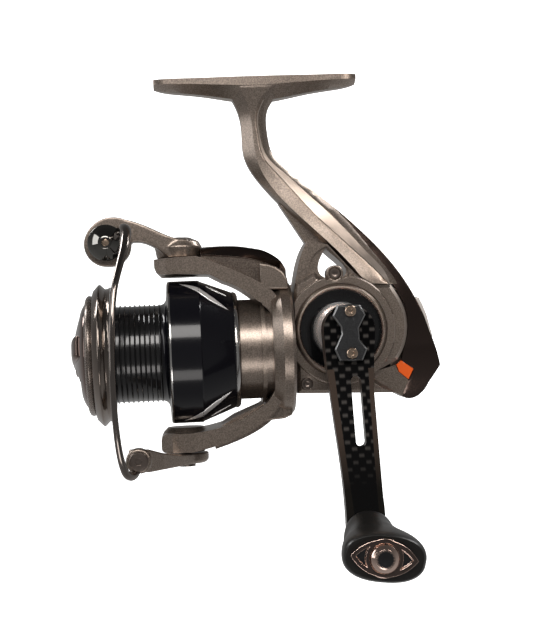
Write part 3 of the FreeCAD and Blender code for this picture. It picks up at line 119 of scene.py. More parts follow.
def woven_material():
    """Woven fibre for the crank arm: soft grey tows on black in alternate squares, brown at the sides."""
    mat = material("woven fibre", (0.02, 0.02, 0.021), metallic=0.0, roughness=0.55, specular=0.03)
    tree = mat.node_tree
    coords = tree.nodes.new("ShaderNodeTexCoord")
    split = tree.nodes.new("ShaderNodeSeparateXYZ")
    tree.links.new(coords.outputs["Object"], split.inputs["Vector"])
    x, z = split.outputs["X"], split.outputs["Z"]

    def node(operation, a, b=None):
        math_node = tree.nodes.new("ShaderNodeMath")
        math_node.operation = operation
        for socket, value in zip(math_node.inputs, (a, b)):
            if isinstance(value, (int, float)):
                socket.default_value = value
            elif value is not None:
                tree.links.new(value, socket)
        return math_node.outputs[0]

    def clamp(value, low):
        return node("MAXIMUM", node("MINIMUM", value, 1.0), low)

    def ramp(value, dark, light, dark_up_to=0.0):
        colours = tree.nodes.new("ShaderNodeValToRGB")
        colours.color_ramp.elements[0].position = dark_up_to
        colours.color_ramp.elements[0].color = (*dark, 1)
        colours.color_ramp.elements[1].color = (*light, 1)
        tree.links.new(value, colours.inputs["Fac"])
        return colours.outputs["Color"]

    turns = math.pi / (TOW * MM)
    across = clamp(node("MULTIPLY", node("SINE", node("MULTIPLY", x, turns)), TOW_SHARPNESS), -1.0)
    down = node("SINE", node("MULTIPLY", z, turns))
    down = node("MULTIPLY", down, node("ABSOLUTE", down))
    weave = node("MULTIPLY", across, down)
    above_fade = node("SUBTRACT", z, WEAVE_GONE_Z * MM)
    fade = clamp(node("DIVIDE", above_fade, (WEAVE_FULL_Z - WEAVE_GONE_Z) * MM), 0.0)
    left_edge = node("ADD", node("MULTIPLY", z, ARM_LEFT[1]), ARM_LEFT[0] * MM)
    right_edge = node("ADD", node("MULTIPLY", z, ARM_RIGHT[1]), ARM_RIGHT[0] * MM)
    sides = node("MAXIMUM", node("LESS_THAN", node("SUBTRACT", x, left_edge), BEVEL_LEFT * MM),
                 node("LESS_THAN", node("SUBTRACT", right_edge, x), BEVEL_RIGHT * MM))
    sides = node("MULTIPLY", sides, node("LESS_THAN", z, BEVEL_TOP_Z * MM))
    mix = tree.nodes.new("ShaderNodeMix")
    mix.data_type = "RGBA"
    factor, first, second = mix.inputs[0], mix.inputs[6], mix.inputs[7]
    tree.links.new(sides, factor)
    tree.links.new(ramp(node("MULTIPLY", weave, fade), TOW_BLACK, TOW_GREY, TOW_BLACK_UP_TO), first)
    tree.links.new(ramp(fade, BEVEL_DARK, BEVEL_BROWN), second)
    tree.links.new(mix.outputs[2], tree.nodes["Principled BSDF"].inputs["Base Color"])
    return mat


BRONZE = material("bronze paint", (0.250, 0.206, 0.174), metallic=0.9, roughness=0.31, coat=0.15,
                  coat_roughness=0.15, grain=0.21, grain_scale=2600, bump=0.10)
DARK_CHROME = material("dark rose chrome", (0.16, 0.115, 0.10), metallic=1.0, roughness=0.10, coat=0.4,
                       coat_roughness=0.03)
COVER_CHROME = material("dark cap chrome", (0.080, 0.054, 0.045), metallic=1.0, roughness=0.12, coat=0.4,
                        coat_roughness=0.03)
ROSE_CHROME = material("rose chrome", (0.66, 0.50, 0.43), metallic=1.0, roughness=0.16)
# Lighter bronze for bevelled edges: painted highlights along the edges.
EDGE_PAINTED_HIGHLIGHT = material("bronze painted edge highlight", (0.46, 0.385, 0.335), metallic=0.95, roughness=0.26, coat=0.15,
                coat_roughness=0.12, grain=0.12, grain_scale=2600)
# Lighter bronze for faces that catch the light: a painted highlight on the side cover's rear chamfers and
# on the stem's bands.
BRONZE_PAINTED_HIGHLIGHT = material("bronze painted highlight", (0.56, 0.48, 0.42), metallic=0.95, roughness=0.30, coat=0.15,
                 coat_roughness=0.12, grain=0.03, grain_scale=400)
SILVER = material("bright trim", (0.86, 0.82, 0.78), metallic=0.6, roughness=0.30)
# Darker bronze for the rotor arm's recessed panel: painted shade in the recess.
PANEL_PAINTED_SHADE = material("panel bronze painted shade", (0.135, 0.108, 0.090), metallic=0.85, roughness=0.34, coat=0.2,
                 coat_roughness=0.12, grain=0.30, grain_scale=2600, bump=0.10)
ORANGE = material("orange inlay", (0.80, 0.11, 0.008), metallic=0.0, roughness=0.25, coat=0.6,
                  coat_roughness=0.05)
BLACK_GLOSS = material("black gloss", (0.004, 0.004, 0.0045), metallic=0.0, roughness=0.10, coat=0.5,
                       coat_roughness=0.03)
SPOOL_BLACK = material("spool black", (0.004, 0.004, 0.006), metallic=0.0, roughness=0.16, coat=0.20,
                       coat_roughness=0.05, specular=0.25)
ARBOR_BLACK = material("arbor black", (0.010, 0.010, 0.011), metallic=0.3, roughness=0.20, coat=0.4,
                       coat_roughness=0.06)
RIM = material("polished rim", (0.62, 0.61, 0.60), metallic=1.0, roughness=0.16)
CUT_EDGE = material("machined edge", (0.88, 0.87, 0.86), metallic=0.55, roughness=0.30, streak=2600.0,
                    bump=0.05)
LIP = material("lip metal", (0.20, 0.17, 0.15), metallic=1.0, roughness=0.15, coat=0.2, coat_roughness=0.05)
WIRE = material("dark polished steel", (0.22, 0.195, 0.18), metallic=1.0, roughness=0.12)
MIRROR = material("dark mirror", (0.17, 0.165, 0.155), metallic=1.0, roughness=0.05)
SCREW = material("bronze screw", (0.50, 0.38, 0.29), metallic=1.0, roughness=0.22)
SCREW_DARK = material("dark screw", (0.20, 0.165, 0.145), metallic=1.0, roughness=0.28)
STEEL = material("turned steel", (0.58, 0.58, 0.59), metallic=1.0, roughness=0.24, grain=0.05,
                 grain_scale=1500)
BEARING = material("bearing steel", (0.72, 0.72, 0.74), metallic=1.0, roughness=0.12)
BRASS = material("machined brass", (0.70, 0.50, 0.24), metallic=1.0, roughness=0.24)
ALLOY = material("machined alloy", (0.68, 0.68, 0.69), metallic=1.0, roughness=0.30, grain=0.05,
                 grain_scale=1500)
GEAR_PLASTIC = material("gear plastic", (0.05, 0.05, 0.055), metallic=0.0, roughness=0.45, grain=0.2,
                        grain_scale=1500)
COLLAR = material("polished collar", (0.92, 0.91, 0.90), metallic=0.75, roughness=0.22)
CLAMP = material("anodised grey", (0.03, 0.031, 0.033), metallic=0.6, roughness=0.36, grain=0.15,
                 grain_scale=3000)
BRIGHT_EDGE = material("bright bevel", (0.26, 0.26, 0.26), metallic=1.0, roughness=0.30)
ARM_EDGE = material("arm edge", (0.050, 0.036, 0.029), metallic=0.35, roughness=0.30, coat=0.2,
                    coat_roughness=0.10)
SOFT = material("soft black", (0.006, 0.0055, 0.005), metallic=0.0, roughness=0.34, coat=0.08,
                coat_roughness=0.3, specular=0.3, bump=0.10, grain_scale=3000)
FELT = material("greased felt", (0.20, 0.17, 0.12), metallic=0.0, roughness=0.85, grain=0.3,
                grain_scale=2200, bump=0.6)
CLIP = material("clip plastic", (0.02, 0.02, 0.02), metallic=0.0, roughness=0.35, grain=0.2,
                grain_scale=2200)
KNOB_BRONZE = material("knob bronze", (0.20, 0.168, 0.148), metallic=0.85, roughness=0.26, coat=0.3,
                       coat_roughness=0.10, grain=0.2, grain_scale=2600)
WOVEN = woven_material()


# ---- mesh helpers, in millimetres ---------------------------------------------------------------
LATHE_STEPS = 160


def finish_mesh(obj, bevel=0.0, angle=32.0, segments=3, weld=False):
    """Smooth shading, with weld, bevel and weighted-normal modifiers where they are asked for."""
    mesh = obj.data
    mesh.polygons.foreach_set("use_smooth", [True] * len(mesh.polygons))
    if weld:
        obj.modifiers.new("weld", "WELD").merge_threshold = WELD_GAP
    if bevel:
        mod = obj.modifiers.new("bevel", "BEVEL")
        mod.width = bevel * MM
        mod.segments = segments
        mod.limit_method = "ANGLE"
        mod.angle_limit = math.radians(angle)
        mod.miter_outer = "MITER_ARC"
        mod.use_clamp_overlap = True
    if bevel or weld:
        mod = obj.modifiers.new("normals", "WEIGHTED_NORMAL")
        mod.keep_sharp = True
        mod.weight = 80


def new_object(name, verts, faces, mats, body, replaces=(), slot=None, face_mats=None):
    """A mesh from points in millimetres, riding on a body. Its normals are made to agree, unless each face
    comes with a material of its own in `face_mats`."""
    mesh = bpy.data.meshes.new(name)
    mesh.from_pydata([Vector(v) * MM for v in verts], [], faces)
    build = bmesh.new()
    build.from_mesh(mesh)
    bmesh.ops.remove_doubles(build, verts=build.verts, dist=0.001 * MM)
    if face_mats is None:
        bmesh.ops.recalc_face_normals(build, faces=build.faces)
    build.to_mesh(mesh)
    build.free()
    for mat in mats if isinstance(mats, (list, tuple)) else [mats]:
        mesh.materials.append(mat)
    if face_mats is not None:
        for poly, index in zip(mesh.polygons, face_mats):
            poly.material_index = index
    obj = bpy.data.objects.new(name, mesh)
    bpy.context.scene.collection.objects.link(obj)
    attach(obj, body)
    if replaces:
        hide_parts(*replaces)
    return obj


def smooth_path(points, steps):
    """Catmull-Rom through points (tuples of any length), `steps` pieces per span."""
    points = [tuple(float(c) for c in p) for p in points]
    out = []
    for i in range(len(points) - 1):
        p0 = points[max(i - 1, 0)]
        p1, p2 = points[i], points[i + 1]
        p3 = points[min(i + 2, len(points) - 1)]
        for k in range(steps):
            t = k / steps
            out.append(tuple(
                0.5 * (2 * b + (c - a) * t + (2 * a - 5 * b + 4 * c - d) * t * t
                       + (3 * b - a - 3 * c + d) * t ** 3)
                for a, b, c, d in zip(p0, p1, p2, p3)))
    out.append(points[-1])
    return out


def loft(name, rings, mats, body, **extra):
    """Closed rings of equal length joined by quads, with both ends capped."""
    count = len(rings[0])
    verts = [p for ring in rings for p in ring]
    faces = []
    for i in range(len(rings) - 1):
        for k in range(count):
            n = (k + 1) % count
            faces.append((i * count + k, i * count + n, (i + 1) * count + n, (i + 1) * count + k))
    faces.append(tuple(reversed(range(count))))
    faces.append(tuple((len(rings) - 1) * count + k for k in range(count)))
    return new_object(name, verts, faces, mats, body, **extra)


def slab(name, outline, y0, y1, mats, body, **extra):
    """An XZ outline given thickness from y0 to y1."""
    return loft(name, [[(x, y, z) for x, z in outline] for y in (y0, y1)], mats, body, **extra)


def lathe(name, profile, axis, at, mats, body, **extra):
    """(station, radius) points, closed, turned round the line along X or Y that passes through `at`."""
    verts, faces = [], []
    steps, n = LATHE_STEPS, len(profile)
    for i in range(steps):
        angle = math.radians(360.0 * i / steps)
        for station, r in profile:
            first, second = at[0] + r * math.cos(angle), at[1] + r * math.sin(angle)
            verts.append((station, first, second) if axis == "X" else (first, station, second))
    for i in range(steps):
        j = (i + 1) % steps
        for k in range(n):
            m = (k + 1) % n
            faces.append((i * n + k, i * n + m, j * n + m, j * n + k))
    return new_object(name, verts, faces, mats, body, **extra)


def plate_faces(rows, columns):
    """Faces of a curved plate: a grid of outer points, an equal grid of inner ones, and the rim."""
    width, size = columns + 1, (rows + 1) * (columns + 1)
    faces = []
    for i in range(rows):
        for k in range(columns):
            a = i * width + k
            faces.append((a, a + width, a + width + 1, a + 1))
            faces.append((size + a, size + a + 1, size + a + width + 1, size + a + width))
    border = list(range(width)) + [i * width + columns for i in range(1, rows + 1)]
    border += [rows * width + k for k in range(columns - 1, -1, -1)]
    border += [i * width for i in range(rows - 1, 0, -1)]
    for a, b in zip(border, border[1:] + border[:1]):
        faces.append((a, b, size + b, size + a))
    return faces


def dress(node, mat, bevel=0.12, angle=34.0, edge=None):
    """A CAD node shown as it is, with small edge rounding, which can have a material of its own."""
    obj = NODES[node]
    obj.data.materials.clear()
    obj.data.materials.append(mat)
    finish_mesh(obj, bevel=bevel, angle=angle, segments=2, weld=True)
    if edge:
        obj.data.materials.append(edge)
        obj.modifiers["bevel"].material = 1


def paint_faces(node, mat, test):
    """Gives a second material to the faces of a CAD node whose normal and centre pass the test."""
    mesh = NODES[node].data
    mesh.materials.append(mat)
    for poly in mesh.polygons:
        if test(poly.normal, poly.center):
            poly.material_index = len(mesh.materials) - 1


def cast(node, mat, voxel, passes):
    """A CAD node softened all over like a casting: remeshed evenly, then smoothed."""
    obj = NODES[node]
    obj.data.materials.clear()
    obj.data.materials.append(mat)
    obj.modifiers.new("weld", "WELD").merge_threshold = WELD_GAP
    mod = obj.modifiers.new("cast", "REMESH")
    mod.mode = "VOXEL"
    mod.voxel_size = voxel * MM
    mod.use_smooth_shade = True
    mod = obj.modifiers.new("smooth", "SMOOTH")
    mod.factor = 0.5
    mod.iterations = passes


# ---- pieces kept from the CAD -------------------------------------------------------------------
def axis_distance(point, axis):
    """How far a face's centre is from a line along Y through (x, z), in millimetres."""
    return math.hypot(point.x / MM - axis[0], point.z / MM - axis[1])


CAST_VOXEL = 0.3
CAST_PASSES = 8
# Where a second material starts: rearward on the side cover, where it is a painted highlight, inward on the
# ring round the cup and on the knob's cap, and inward from the outer face of the knob's frame.
COVER_HIGHLIGHT_X, RING_BORE, CAP_BADGE, KNOB_FACE_Y = 40.0, 13.3, 2.2, -88.6

for node in ("bail_arm", "bail_holder"):
    cast(node, BRONZE, CAST_VOXEL, CAST_PASSES)
for mat, nodes in (
        (BRONZE, ("side_ring", "far_cap", "lower_arm_cover")),
        (BLACK_GLOSS, ("side_cup",)),
        (ORANGE, ("rear_accent",)),
        (SCREW, ("arm_screws", "roller_screw")),
        (SCREW_DARK, ("body_screws", "rotor_screws", "bail_pivot_screws", "wire_screw")),
        (STEEL, ("pinion_retainer", "clutch_housing", "guide_rod", "handle_shaft", "knob_pin", "nut_lock",
                 "clutch_sleeve", "kick_lever", "bail_spring", "main_shaft", "pressure_plate",
                 "drag_retainer", "drag_spring")),
        (BEARING, ("clutch_rollers", "bearing_outer_rings", "bearing_balls", "drive_bearing_inner",
                   "pinion_bearing_inner")),
        (ALLOY, ("drive_gear",)),
        (BRASS, ("pinion_gear", "rotor_nut", "balance_weights")),
        (GEAR_PLASTIC, ("osc_drive_gear", "spool_sleeve", "slider_block", "osc_gear")),
        (COLLAR, ("drive_collar",)),
        (CLAMP, ("arm_clamp_plate",)),
        (MIRROR, ("line_roller",)),
        (LIP, ("spool_lip",)),
        (CLIP, ("line_clip",)),
        (FELT, ("drag_stack",))):
    for node in nodes:
        dress(node, mat)
# The bevels of the side cover, the body and the rotor take the lighter bronze as painted edge highlights.
dress("side_cover", BRONZE, bevel=0.30, edge=EDGE_PAINTED_HIGHLIGHT)
dress("body_housing", BRONZE, bevel=0.28, angle=33, edge=EDGE_PAINTED_HIGHLIGHT)
dress("rotor", BRONZE, bevel=0.45, angle=30, edge=EDGE_PAINTED_HIGHLIGHT)
dress("rear_cover", COVER_CHROME, bevel=1.8, angle=25)
dress("knob_grip", SOFT, bevel=0.5, angle=50)
dress("knob_frame", DARK_CHROME, bevel=0.45, angle=30, edge=ROSE_CHROME)
dress("knob_cap", ROSE_CHROME, bevel=0.5, angle=20)
dress("handle_arm", WOVEN, bevel=0.5, angle=40)
# Side-cover faces that turn rearward and up take the lighter bronze, a painted highlight.
paint_faces("side_cover", BRONZE_PAINTED_HIGHLIGHT, lambda n, c: n.y < -0.3 and n.x > 0.35 and c.x > COVER_HIGHLIGHT_X * MM)
paint_faces("side_ring", ROSE_CHROME, lambda n, c: axis_distance(c, CRANK) < RING_BORE)
paint_faces("handle_arm", ARM_EDGE, lambda n, c: abs(n.x) > 0.6)
paint_faces("knob_frame", BLACK_GLOSS, lambda n, c: n.y < -0.9 and c.y > KNOB_FACE_Y * MM)
paint_faces("knob_cap", BLACK_GLOSS, lambda n, c: n.y < -0.8 and axis_distance(c, KNOB) < CAP_BADGE)
paint_faces("arm_clamp_plate", BRIGHT_EDGE, lambda n, c: 0.3 < abs(n.y) < 0.95)


# ---- spool, in millimetres like all the pieces --------------------------------------------------
RIDGE_FIRST, RIDGE_LAST, RIDGE_PITCH = -47.9, -33.6, 1.55
SKIRT_RADIUS, SKIRT_BEND_X, SKIRT_TAPER, SKIRT_BEND_DROP = 22.8, -20.9, 0.386, 0.1
CUT_PROUD, CUT_ROOT, CUT_ROWS, CUT_COLUMNS = 0.03, -0.4, 28, 5


def spool_body():
    """Arbor with fine ridges, flared front, polished rims and a tapering black skirt."""
    front = [(-50.0, 13.6), (-50.0, 20.4), (-49.5, 20.55), (-49.1, 19.4), (-48.9, 16.6), (-48.6, 15.6)]
    ridges = []
    x = RIDGE_FIRST
    while x < RIDGE_LAST:
        ridges += [(x, 15.3), (x + 0.14, 15.72), (x + 0.30, 15.82), (x + 0.46, 15.72), (x + 0.60, 15.3)]
        x += RIDGE_PITCH
    flare = [(-33.0, 15.5), (-32.2, 15.8), (-31.6, 16.6), (-31.3, 17.8), (-31.15, 21.4)]
    rim = [(-31.0, 22.2), (-30.7, 22.65), (-30.2, SKIRT_RADIUS)]
    skirt = [(-30.15, SKIRT_RADIUS), (-21.0, SKIRT_RADIUS), (-20.75, 22.62), (-20.5, 22.45),
             (-10.9, 18.74), (-10.75, 18.62)]
    rear_rim = [(-10.3, 18.5), (-10.1, 18.66), (-9.4, 18.5)]
    rear_edge = [(-8.9, 18.1), (-8.72, 17.6), (-8.72, 17.1)]
    inside = [(-20.8, 20.9), (-28.0, 20.9), (-28.0, 14.2), (-26.2, 13.0), (-26.2, 5.25), (-35.0, 5.25),
              (-35.0, 13.6)]
    black, arbor, bright = 0, 1, 2
    profile, kinds = [], []
    for stretch, kind in ((front, black), (ridges, arbor), (flare, black), (rim, bright), (skirt, black),
                          (rear_rim, bright), (rear_edge + inside, black)):
        profile += stretch
        kinds += [kind] * len(stretch)
    steps = 360
    verts, faces, mats = [], [], []
    for i in range(steps):
        angle = math.radians(360.0 * i / steps)
        for x, r in profile:
            verts.append((x, -r * math.sin(angle), AXIS_Z + r * math.cos(angle)))
    n = len(profile)
    for i in range(steps):
        j = (i + 1) % steps
        for k in range(n):
            m = (k + 1) % n
            faces.append((i * n + k, j * n + k, j * n + m, i * n + m))
            mats.append(kinds[k])
    spool = new_object("spool_body", verts, faces, [SPOOL_BLACK, ARBOR_BLACK, RIM], "spool",
                       replaces=("spool",), slot="spool_black", face_mats=mats)
    spool.data.set_sharp_from_angle(angle=math.radians(34))


def skirt_radius(x):
    """The radius that the cuts follow: the skirt's in front of its bend, and 0.1 mm more behind it."""
    if x < SKIRT_BEND_X:
        return SKIRT_RADIUS
    return SKIRT_RADIUS - SKIRT_TAPER * (x - SKIRT_BEND_X) - SKIRT_BEND_DROP


def part_way(points, t):
    """The point a fraction t of the way along a list of (u, v) points."""
    place = t * (len(points) - 1)
    index = min(int(place), len(points) - 2)
    part = place - index
    return tuple(a + (b - a) * part for a, b in zip(points[index], points[index + 1]))


def skirt_cut(name, upper, lower, mirror, turn):
    """A bright facet laid on the skirt, between two edges of (x, degrees from the top)."""
    points = []
    for lift in (CUT_PROUD, CUT_ROOT):
        for i in range(CUT_ROWS + 1):
            (x0, a0), (x1, a1) = part_way(upper, i / CUT_ROWS), part_way(lower, i / CUT_ROWS)
            for k in range(CUT_COLUMNS + 1):
                x, angle = x0 + (x1 - x0) * k / CUT_COLUMNS, a0 + (a1 - a0) * k / CUT_COLUMNS
                angle = math.radians((180.0 - angle if mirror else angle) + turn)
                r = skirt_radius(x) + lift
                points.append((x, -r * math.sin(angle), AXIS_Z + r * math.cos(angle)))
    cut = new_object(name, points, plate_faces(CUT_ROWS, CUT_COLUMNS), CUT_EDGE, "spool", slot="lip_metal")
    finish_mesh(cut)


def skirt_cuts():
    """A long slash and a short cut behind it, mirrored and repeated half a turn on: eight in all."""
    slash = ([(-27.0, 18.5), (-24.0, 22.0), (-20.6, 28.0), (-16.4, 37.0), (-12.0, 48.4)],
             [(-27.0, 18.5), (-24.6, 25.5), (-21.5, 34.0), (-17.4, 42.0), (-12.0, 48.4)])
    short = ([(-18.6, 19.5), (-15.8, 20.0), (-12.2, 27.0)], [(-18.6, 19.5), (-15.6, 23.9), (-12.2, 27.0)])
    for index, (upper, lower) in enumerate((slash, short)):
        for mirror in (False, True):
            for turn in (0.0, 180.0):
                skirt_cut("skirt_cut_%d%d%d" % (index, mirror, turn > 0), upper, lower, mirror, turn)


# ---- rotor arms ---------------------------------------------------------------------------------
HUB_CLEAR, HUB_CLEAR_LEAST, HUB_RINGS = 8.1, 5.6, 4
BEVEL_DOWN_TO_Z = -66.5
BLOCK_INNER_Y, BLOCK_OUTER_Y = 9.0, 12.3
ROOT_HALF_WIDTH = 9.4


def upper_cover():
    """Painted deck over a dark bevel, above a recessed panel in darker bronze, as painted shade for the
    recess; concave where the bail hub turns.
    """
    # x, then z of the deck, the bevel's top, its foot and the base, then half widths of the first three
    stations = [(-19.8, -53.9, -54.7, -56.5, -58.4, 5.8, 6.9, 8.6),
                (-16.0, -53.75, -54.8, -56.7, -59.6, 6.4, 7.4, 9.2),
                (-12.0, -53.75, -55.1, -57.1, -61.2, 6.7, 7.7, 9.5),
                (-8.0, -53.95, -55.6, -57.6, -63.2, 6.8, 7.8, 9.7),
                (-4.0, -54.6, -56.4, -58.3, -65.6, 6.8, 7.8, 9.9),
                (0.0, -55.5, -57.4, -59.5, -67.4, 6.8, 7.7, 9.9),
                (3.2, -57.1, -59.0, -61.2, -67.6, 6.6, 7.4, 9.6),
                (5.6, -59.0, -60.9, -63.1, -67.6, 6.2, 6.9, 9.0),
                (7.2, -61.6, -63.4, -65.2, -67.6, 5.6, 6.2, 8.2)]
    rings = []
    for index, (x, top, high, low, base, deck, edge, wide) in enumerate(smooth_path(stations, 4)):
        right = [(deck * 0.5, top + 0.12), (deck, top - 0.25), (edge, high), (wide, low),
                 (wide - 0.5, low - 0.35), (wide - 0.5, base)]
        ring = []
        for y, z in right + [(-y, z) for y, z in reversed(right)]:
            hollow = BAIL_X + math.sqrt(max(HUB_CLEAR ** 2 - y * y, HUB_CLEAR_LEAST ** 2))
            ring.append((max(x, hollow) if index < HUB_RINGS else x, y, z))
        rings.append(ring)
    cover = loft("upper_cover", rings, [BRONZE, COVER_CHROME, PANEL_PAINTED_SHADE], "rotor",
                 replaces=("upper_arm_cover",), slot="bronze_paint")
    bevel, panel = 1, 2
    for poly in cover.data.polygons:
        n = poly.normal
        if abs(n.y) > 0.35 and n.z > 0.12 and poly.center.z > BEVEL_DOWN_TO_Z * MM:
            poly.material_index = bevel
        # Faces of the recessed panel take the darker bronze as painted shade.
        elif abs(n.y) > 0.7:
            poly.material_index = panel
    finish_mesh(cover, bevel=0.22, angle=24)


def cover_blocks():
    """A solid block on each side of the cover, where the arm meets the rotor's cup."""
    outline = [(-1.6, -59.9), (1.2, -60.2), (3.8, -61.3), (6.0, -63.1), (7.2, -65.2), (7.3, -68.4),
               (-0.4, -68.4), (-1.6, -67.0)]
    for side, name in ((-1, "near"), (1, "far")):
        block = slab("cover_block_" + name, outline, side * BLOCK_INNER_Y, side * BLOCK_OUTER_Y, BRONZE,
                     "rotor", slot="bronze_paint")
        finish_mesh(block, bevel=0.7, angle=24)


def lower_root():
    """The thick root of the lower arm, where it leaves the rotor's cup."""
    outline = [(-4.0, -110.4), (0.6, -109.6), (4.6, -109.3), (7.2, -108.2), (7.4, -104.0), (1.6, -104.0)]
    root = slab("lower_root", outline, -ROOT_HALF_WIDTH, ROOT_HALF_WIDTH, BRONZE, "rotor",
                slot="bronze_paint")
    finish_mesh(root, bevel=0.5, angle=24)


# ---- bail wire and roller cone ------------------------------------------------------------------
WIRE_SIDES = 20


def bail_wire():
    """Bent wire: a thick tapering horn grows out of the cone, the far end dips into the holder."""
    # x, y, z and radius along the wire
    path = [(-46.2, -12.0, -50.4, 1.2), (-44.5, -13.4, -48.7, 1.7), (-43.3, -15.6, -48.1, 1.95),
            (-42.7, -18.8, -49.0, 1.9), (-42.7, -22.0, -51.3, 1.75), (-43.2, -25.4, -54.6, 1.5),
            (-44.2, -28.8, -58.4, 1.25), (-45.3, -31.8, -62.8, 1.08), (-46.3, -34.2, -67.6, 1.0),
            (-47.1, -36.6, -75.6, 0.95), (-47.6, -37.9, -88.0, 0.95), (-47.6, -37.6, -99.5, 0.95),
            (-47.2, -36.4, -109.0, 0.97), (-46.5, -34.6, -116.4, 1.05), (-45.3, -32.4, -121.4, 1.2),
            (-43.9, -30.4, -123.0, 1.3), (-42.6, -28.2, -122.7, 1.2), (-41.5, -25.6, -121.0, 1.0)]
    points = smooth_path(path, 8)
    angles = [2 * math.pi * k / WIRE_SIDES for k in range(WIRE_SIDES)]
    rings = []
    side = Vector((1, 0, 0))
    for i, (x, y, z, r) in enumerate(points):
        ahead, behind = points[min(i + 1, len(points) - 1)], points[max(i - 1, 0)]
        heading = (Vector(ahead[:3]) - Vector(behind[:3])).normalized()
        side = (side - heading * side.dot(heading)).normalized()
        other = heading.cross(side)
        rings.append([tuple(Vector((x, y, z)) + (side * math.cos(a) + other * math.sin(a)) * r)
                      for a in angles])
    wire = loft("bail_wire_skin", rings, WIRE, "bail", replaces=("bail_wire",), slot="bronze_chrome")
    finish_mesh(wire, bevel=0.25, angle=60)


def roller_cone():
    """Polished cone outside the line roller, as a smooth turned piece."""
    profile = [(-10.2, 1.2), (-10.2, 5.6), (-10.35, 5.7), (-10.85, 5.7), (-11.1, 5.5), (-12.4, 3.6),
               (-13.1, 2.6), (-13.45, 2.1), (-13.6, 1.7), (-13.6, 1.2)]
    cone = lathe("cone_skin", profile, "Y", ROLLER, MIRROR, "bail", replaces=("roller_cone",),
                 slot="dark_mirror")
    finish_mesh(cone)
    cone.data.set_sharp_from_angle(angle=math.radians(40))


# ---- drag knob ----------------------------------------------------------------------------------
BAR_TILT = math.radians(-15.0)
DOME_TOP_X, DOME_STEPS, DOME_WALL = -60.95, 180, 0.6
WINDOW_INNER, WINDOW_OUTER, WINDOW_SPREAD, WINDOW_DEPTH = 6.5, 13.2, 0.68, 1.4
BAR_FOOT_X = -57.8


def knob_point(x, across, up):
    """A point of the drag knob, given along and across its tilted grip bar."""
    return (x, across * math.cos(BAR_TILT) - up * math.sin(BAR_TILT),
            AXIS_Z + across * math.sin(BAR_TILT) + up * math.cos(BAR_TILT))


def drag_ring():
    """Painted outer ring of the drag knob."""
    profile = [(-53.1, 12.4), (-53.1, 18.2), (-53.6, 18.5), (-54.9, 19.1), (-55.8, 19.3), (-56.5, 19.0),
               (-57.0, 18.1), (-57.0, 16.6), (-56.2, 15.9), (-55.4, 14.0), (-55.4, 12.4)]
    ring = lathe("drag_ring", profile, "X", (0, AXIS_Z), KNOB_BRONZE, "drag_knob", replaces=("drag_knob",),
                 slot="knob_bronze")
    finish_mesh(ring, bevel=0.15, angle=20)


def drag_dome():
    """Dark dome inside the ring, with a sunk window above and below the grip bar."""
    stations = [(0.0, DOME_TOP_X), (2.0, -60.9), (5.4, -60.6), (7.6, -60.25), (9.6, -59.8), (11.4, -59.3),
                (13.0, -58.8), (14.8, -58.1), (16.0, -57.45), (16.6, -56.9), (16.8, -56.2)]
    steps, rounds = DOME_STEPS, smooth_path(stations, 3)[1:]
    verts, faces = [(DOME_TOP_X, 0.0, AXIS_Z)], []
    for r, x in rounds:
        for i in range(steps):
            a = 2 * math.pi * i / steps
            window = WINDOW_INNER < r < WINDOW_OUTER and abs(math.cos(a)) < WINDOW_SPREAD
            sunk = WINDOW_DEPTH if window else 0.0
            verts.append(knob_point(x + sunk, r * math.cos(a), r * math.sin(a)))
    for i in range(steps):
        j = (i + 1) % steps
        faces.append((0, 1 + j, 1 + i))
        for k in range(len(rounds) - 1):
            inner, outer = 1 + k * steps, 1 + (k + 1) * steps
            faces.append((inner + i, inner + j, outer + j, outer + i))
    dome = new_object("drag_dome", verts, faces, DARK_CHROME, "drag_knob", slot="knob_dark_chrome")
    finish_mesh(dome)
    solid = dome.modifiers.new("thickness", "SOLIDIFY")
    solid.thickness = DOME_WALL * MM
    solid.offset = 0.0
    dome.data.set_sharp_from_angle(angle=math.radians(35))


def drag_bar():
    """Grip bar across the dome, bright on top, which thins out towards both ends."""
    section = [(-57.8, -4.2), (-60.9, -3.9), (-61.7, -3.0), (-61.85, -1.6), (-61.85, 1.6), (-61.7, 3.0),
               (-60.9, 3.9), (-57.8, 4.2)]
    half = [(13.6, 0.10), (13.2, 0.5), (11.6, 0.78), (8.6, 0.95), (4.0, 1.0)]
    rings = []
    for across, tall in [(-a, t) for a, t in half] + [(0.0, 1.0)] + half[::-1]:
        rings.append([knob_point(BAR_FOOT_X + (x - BAR_FOOT_X) * tall, across, up * (0.8 + 0.2 * tall))
                      for x, up in section])
    bar = loft("drag_bar", rings, [DARK_CHROME, SILVER], "drag_knob", replaces=("knob_bar",),
               slot="knob_dark_chrome")
    for poly in bar.data.polygons:
        poly.material_index = 1 if poly.normal.z > 0.8 else 0
    finish_mesh(bar, bevel=0.3, angle=25)


# ---- body ---------------------------------------------------------------------------------------
BAND_COLUMNS, BAND_PROUD, BAND_THICKNESS, BAND_FIRST_DEPTH = 4, 0.36, 1.0, 4.5
RAY_START_Y = 30.0
TRIM_HALF_WIDTH = 8.6


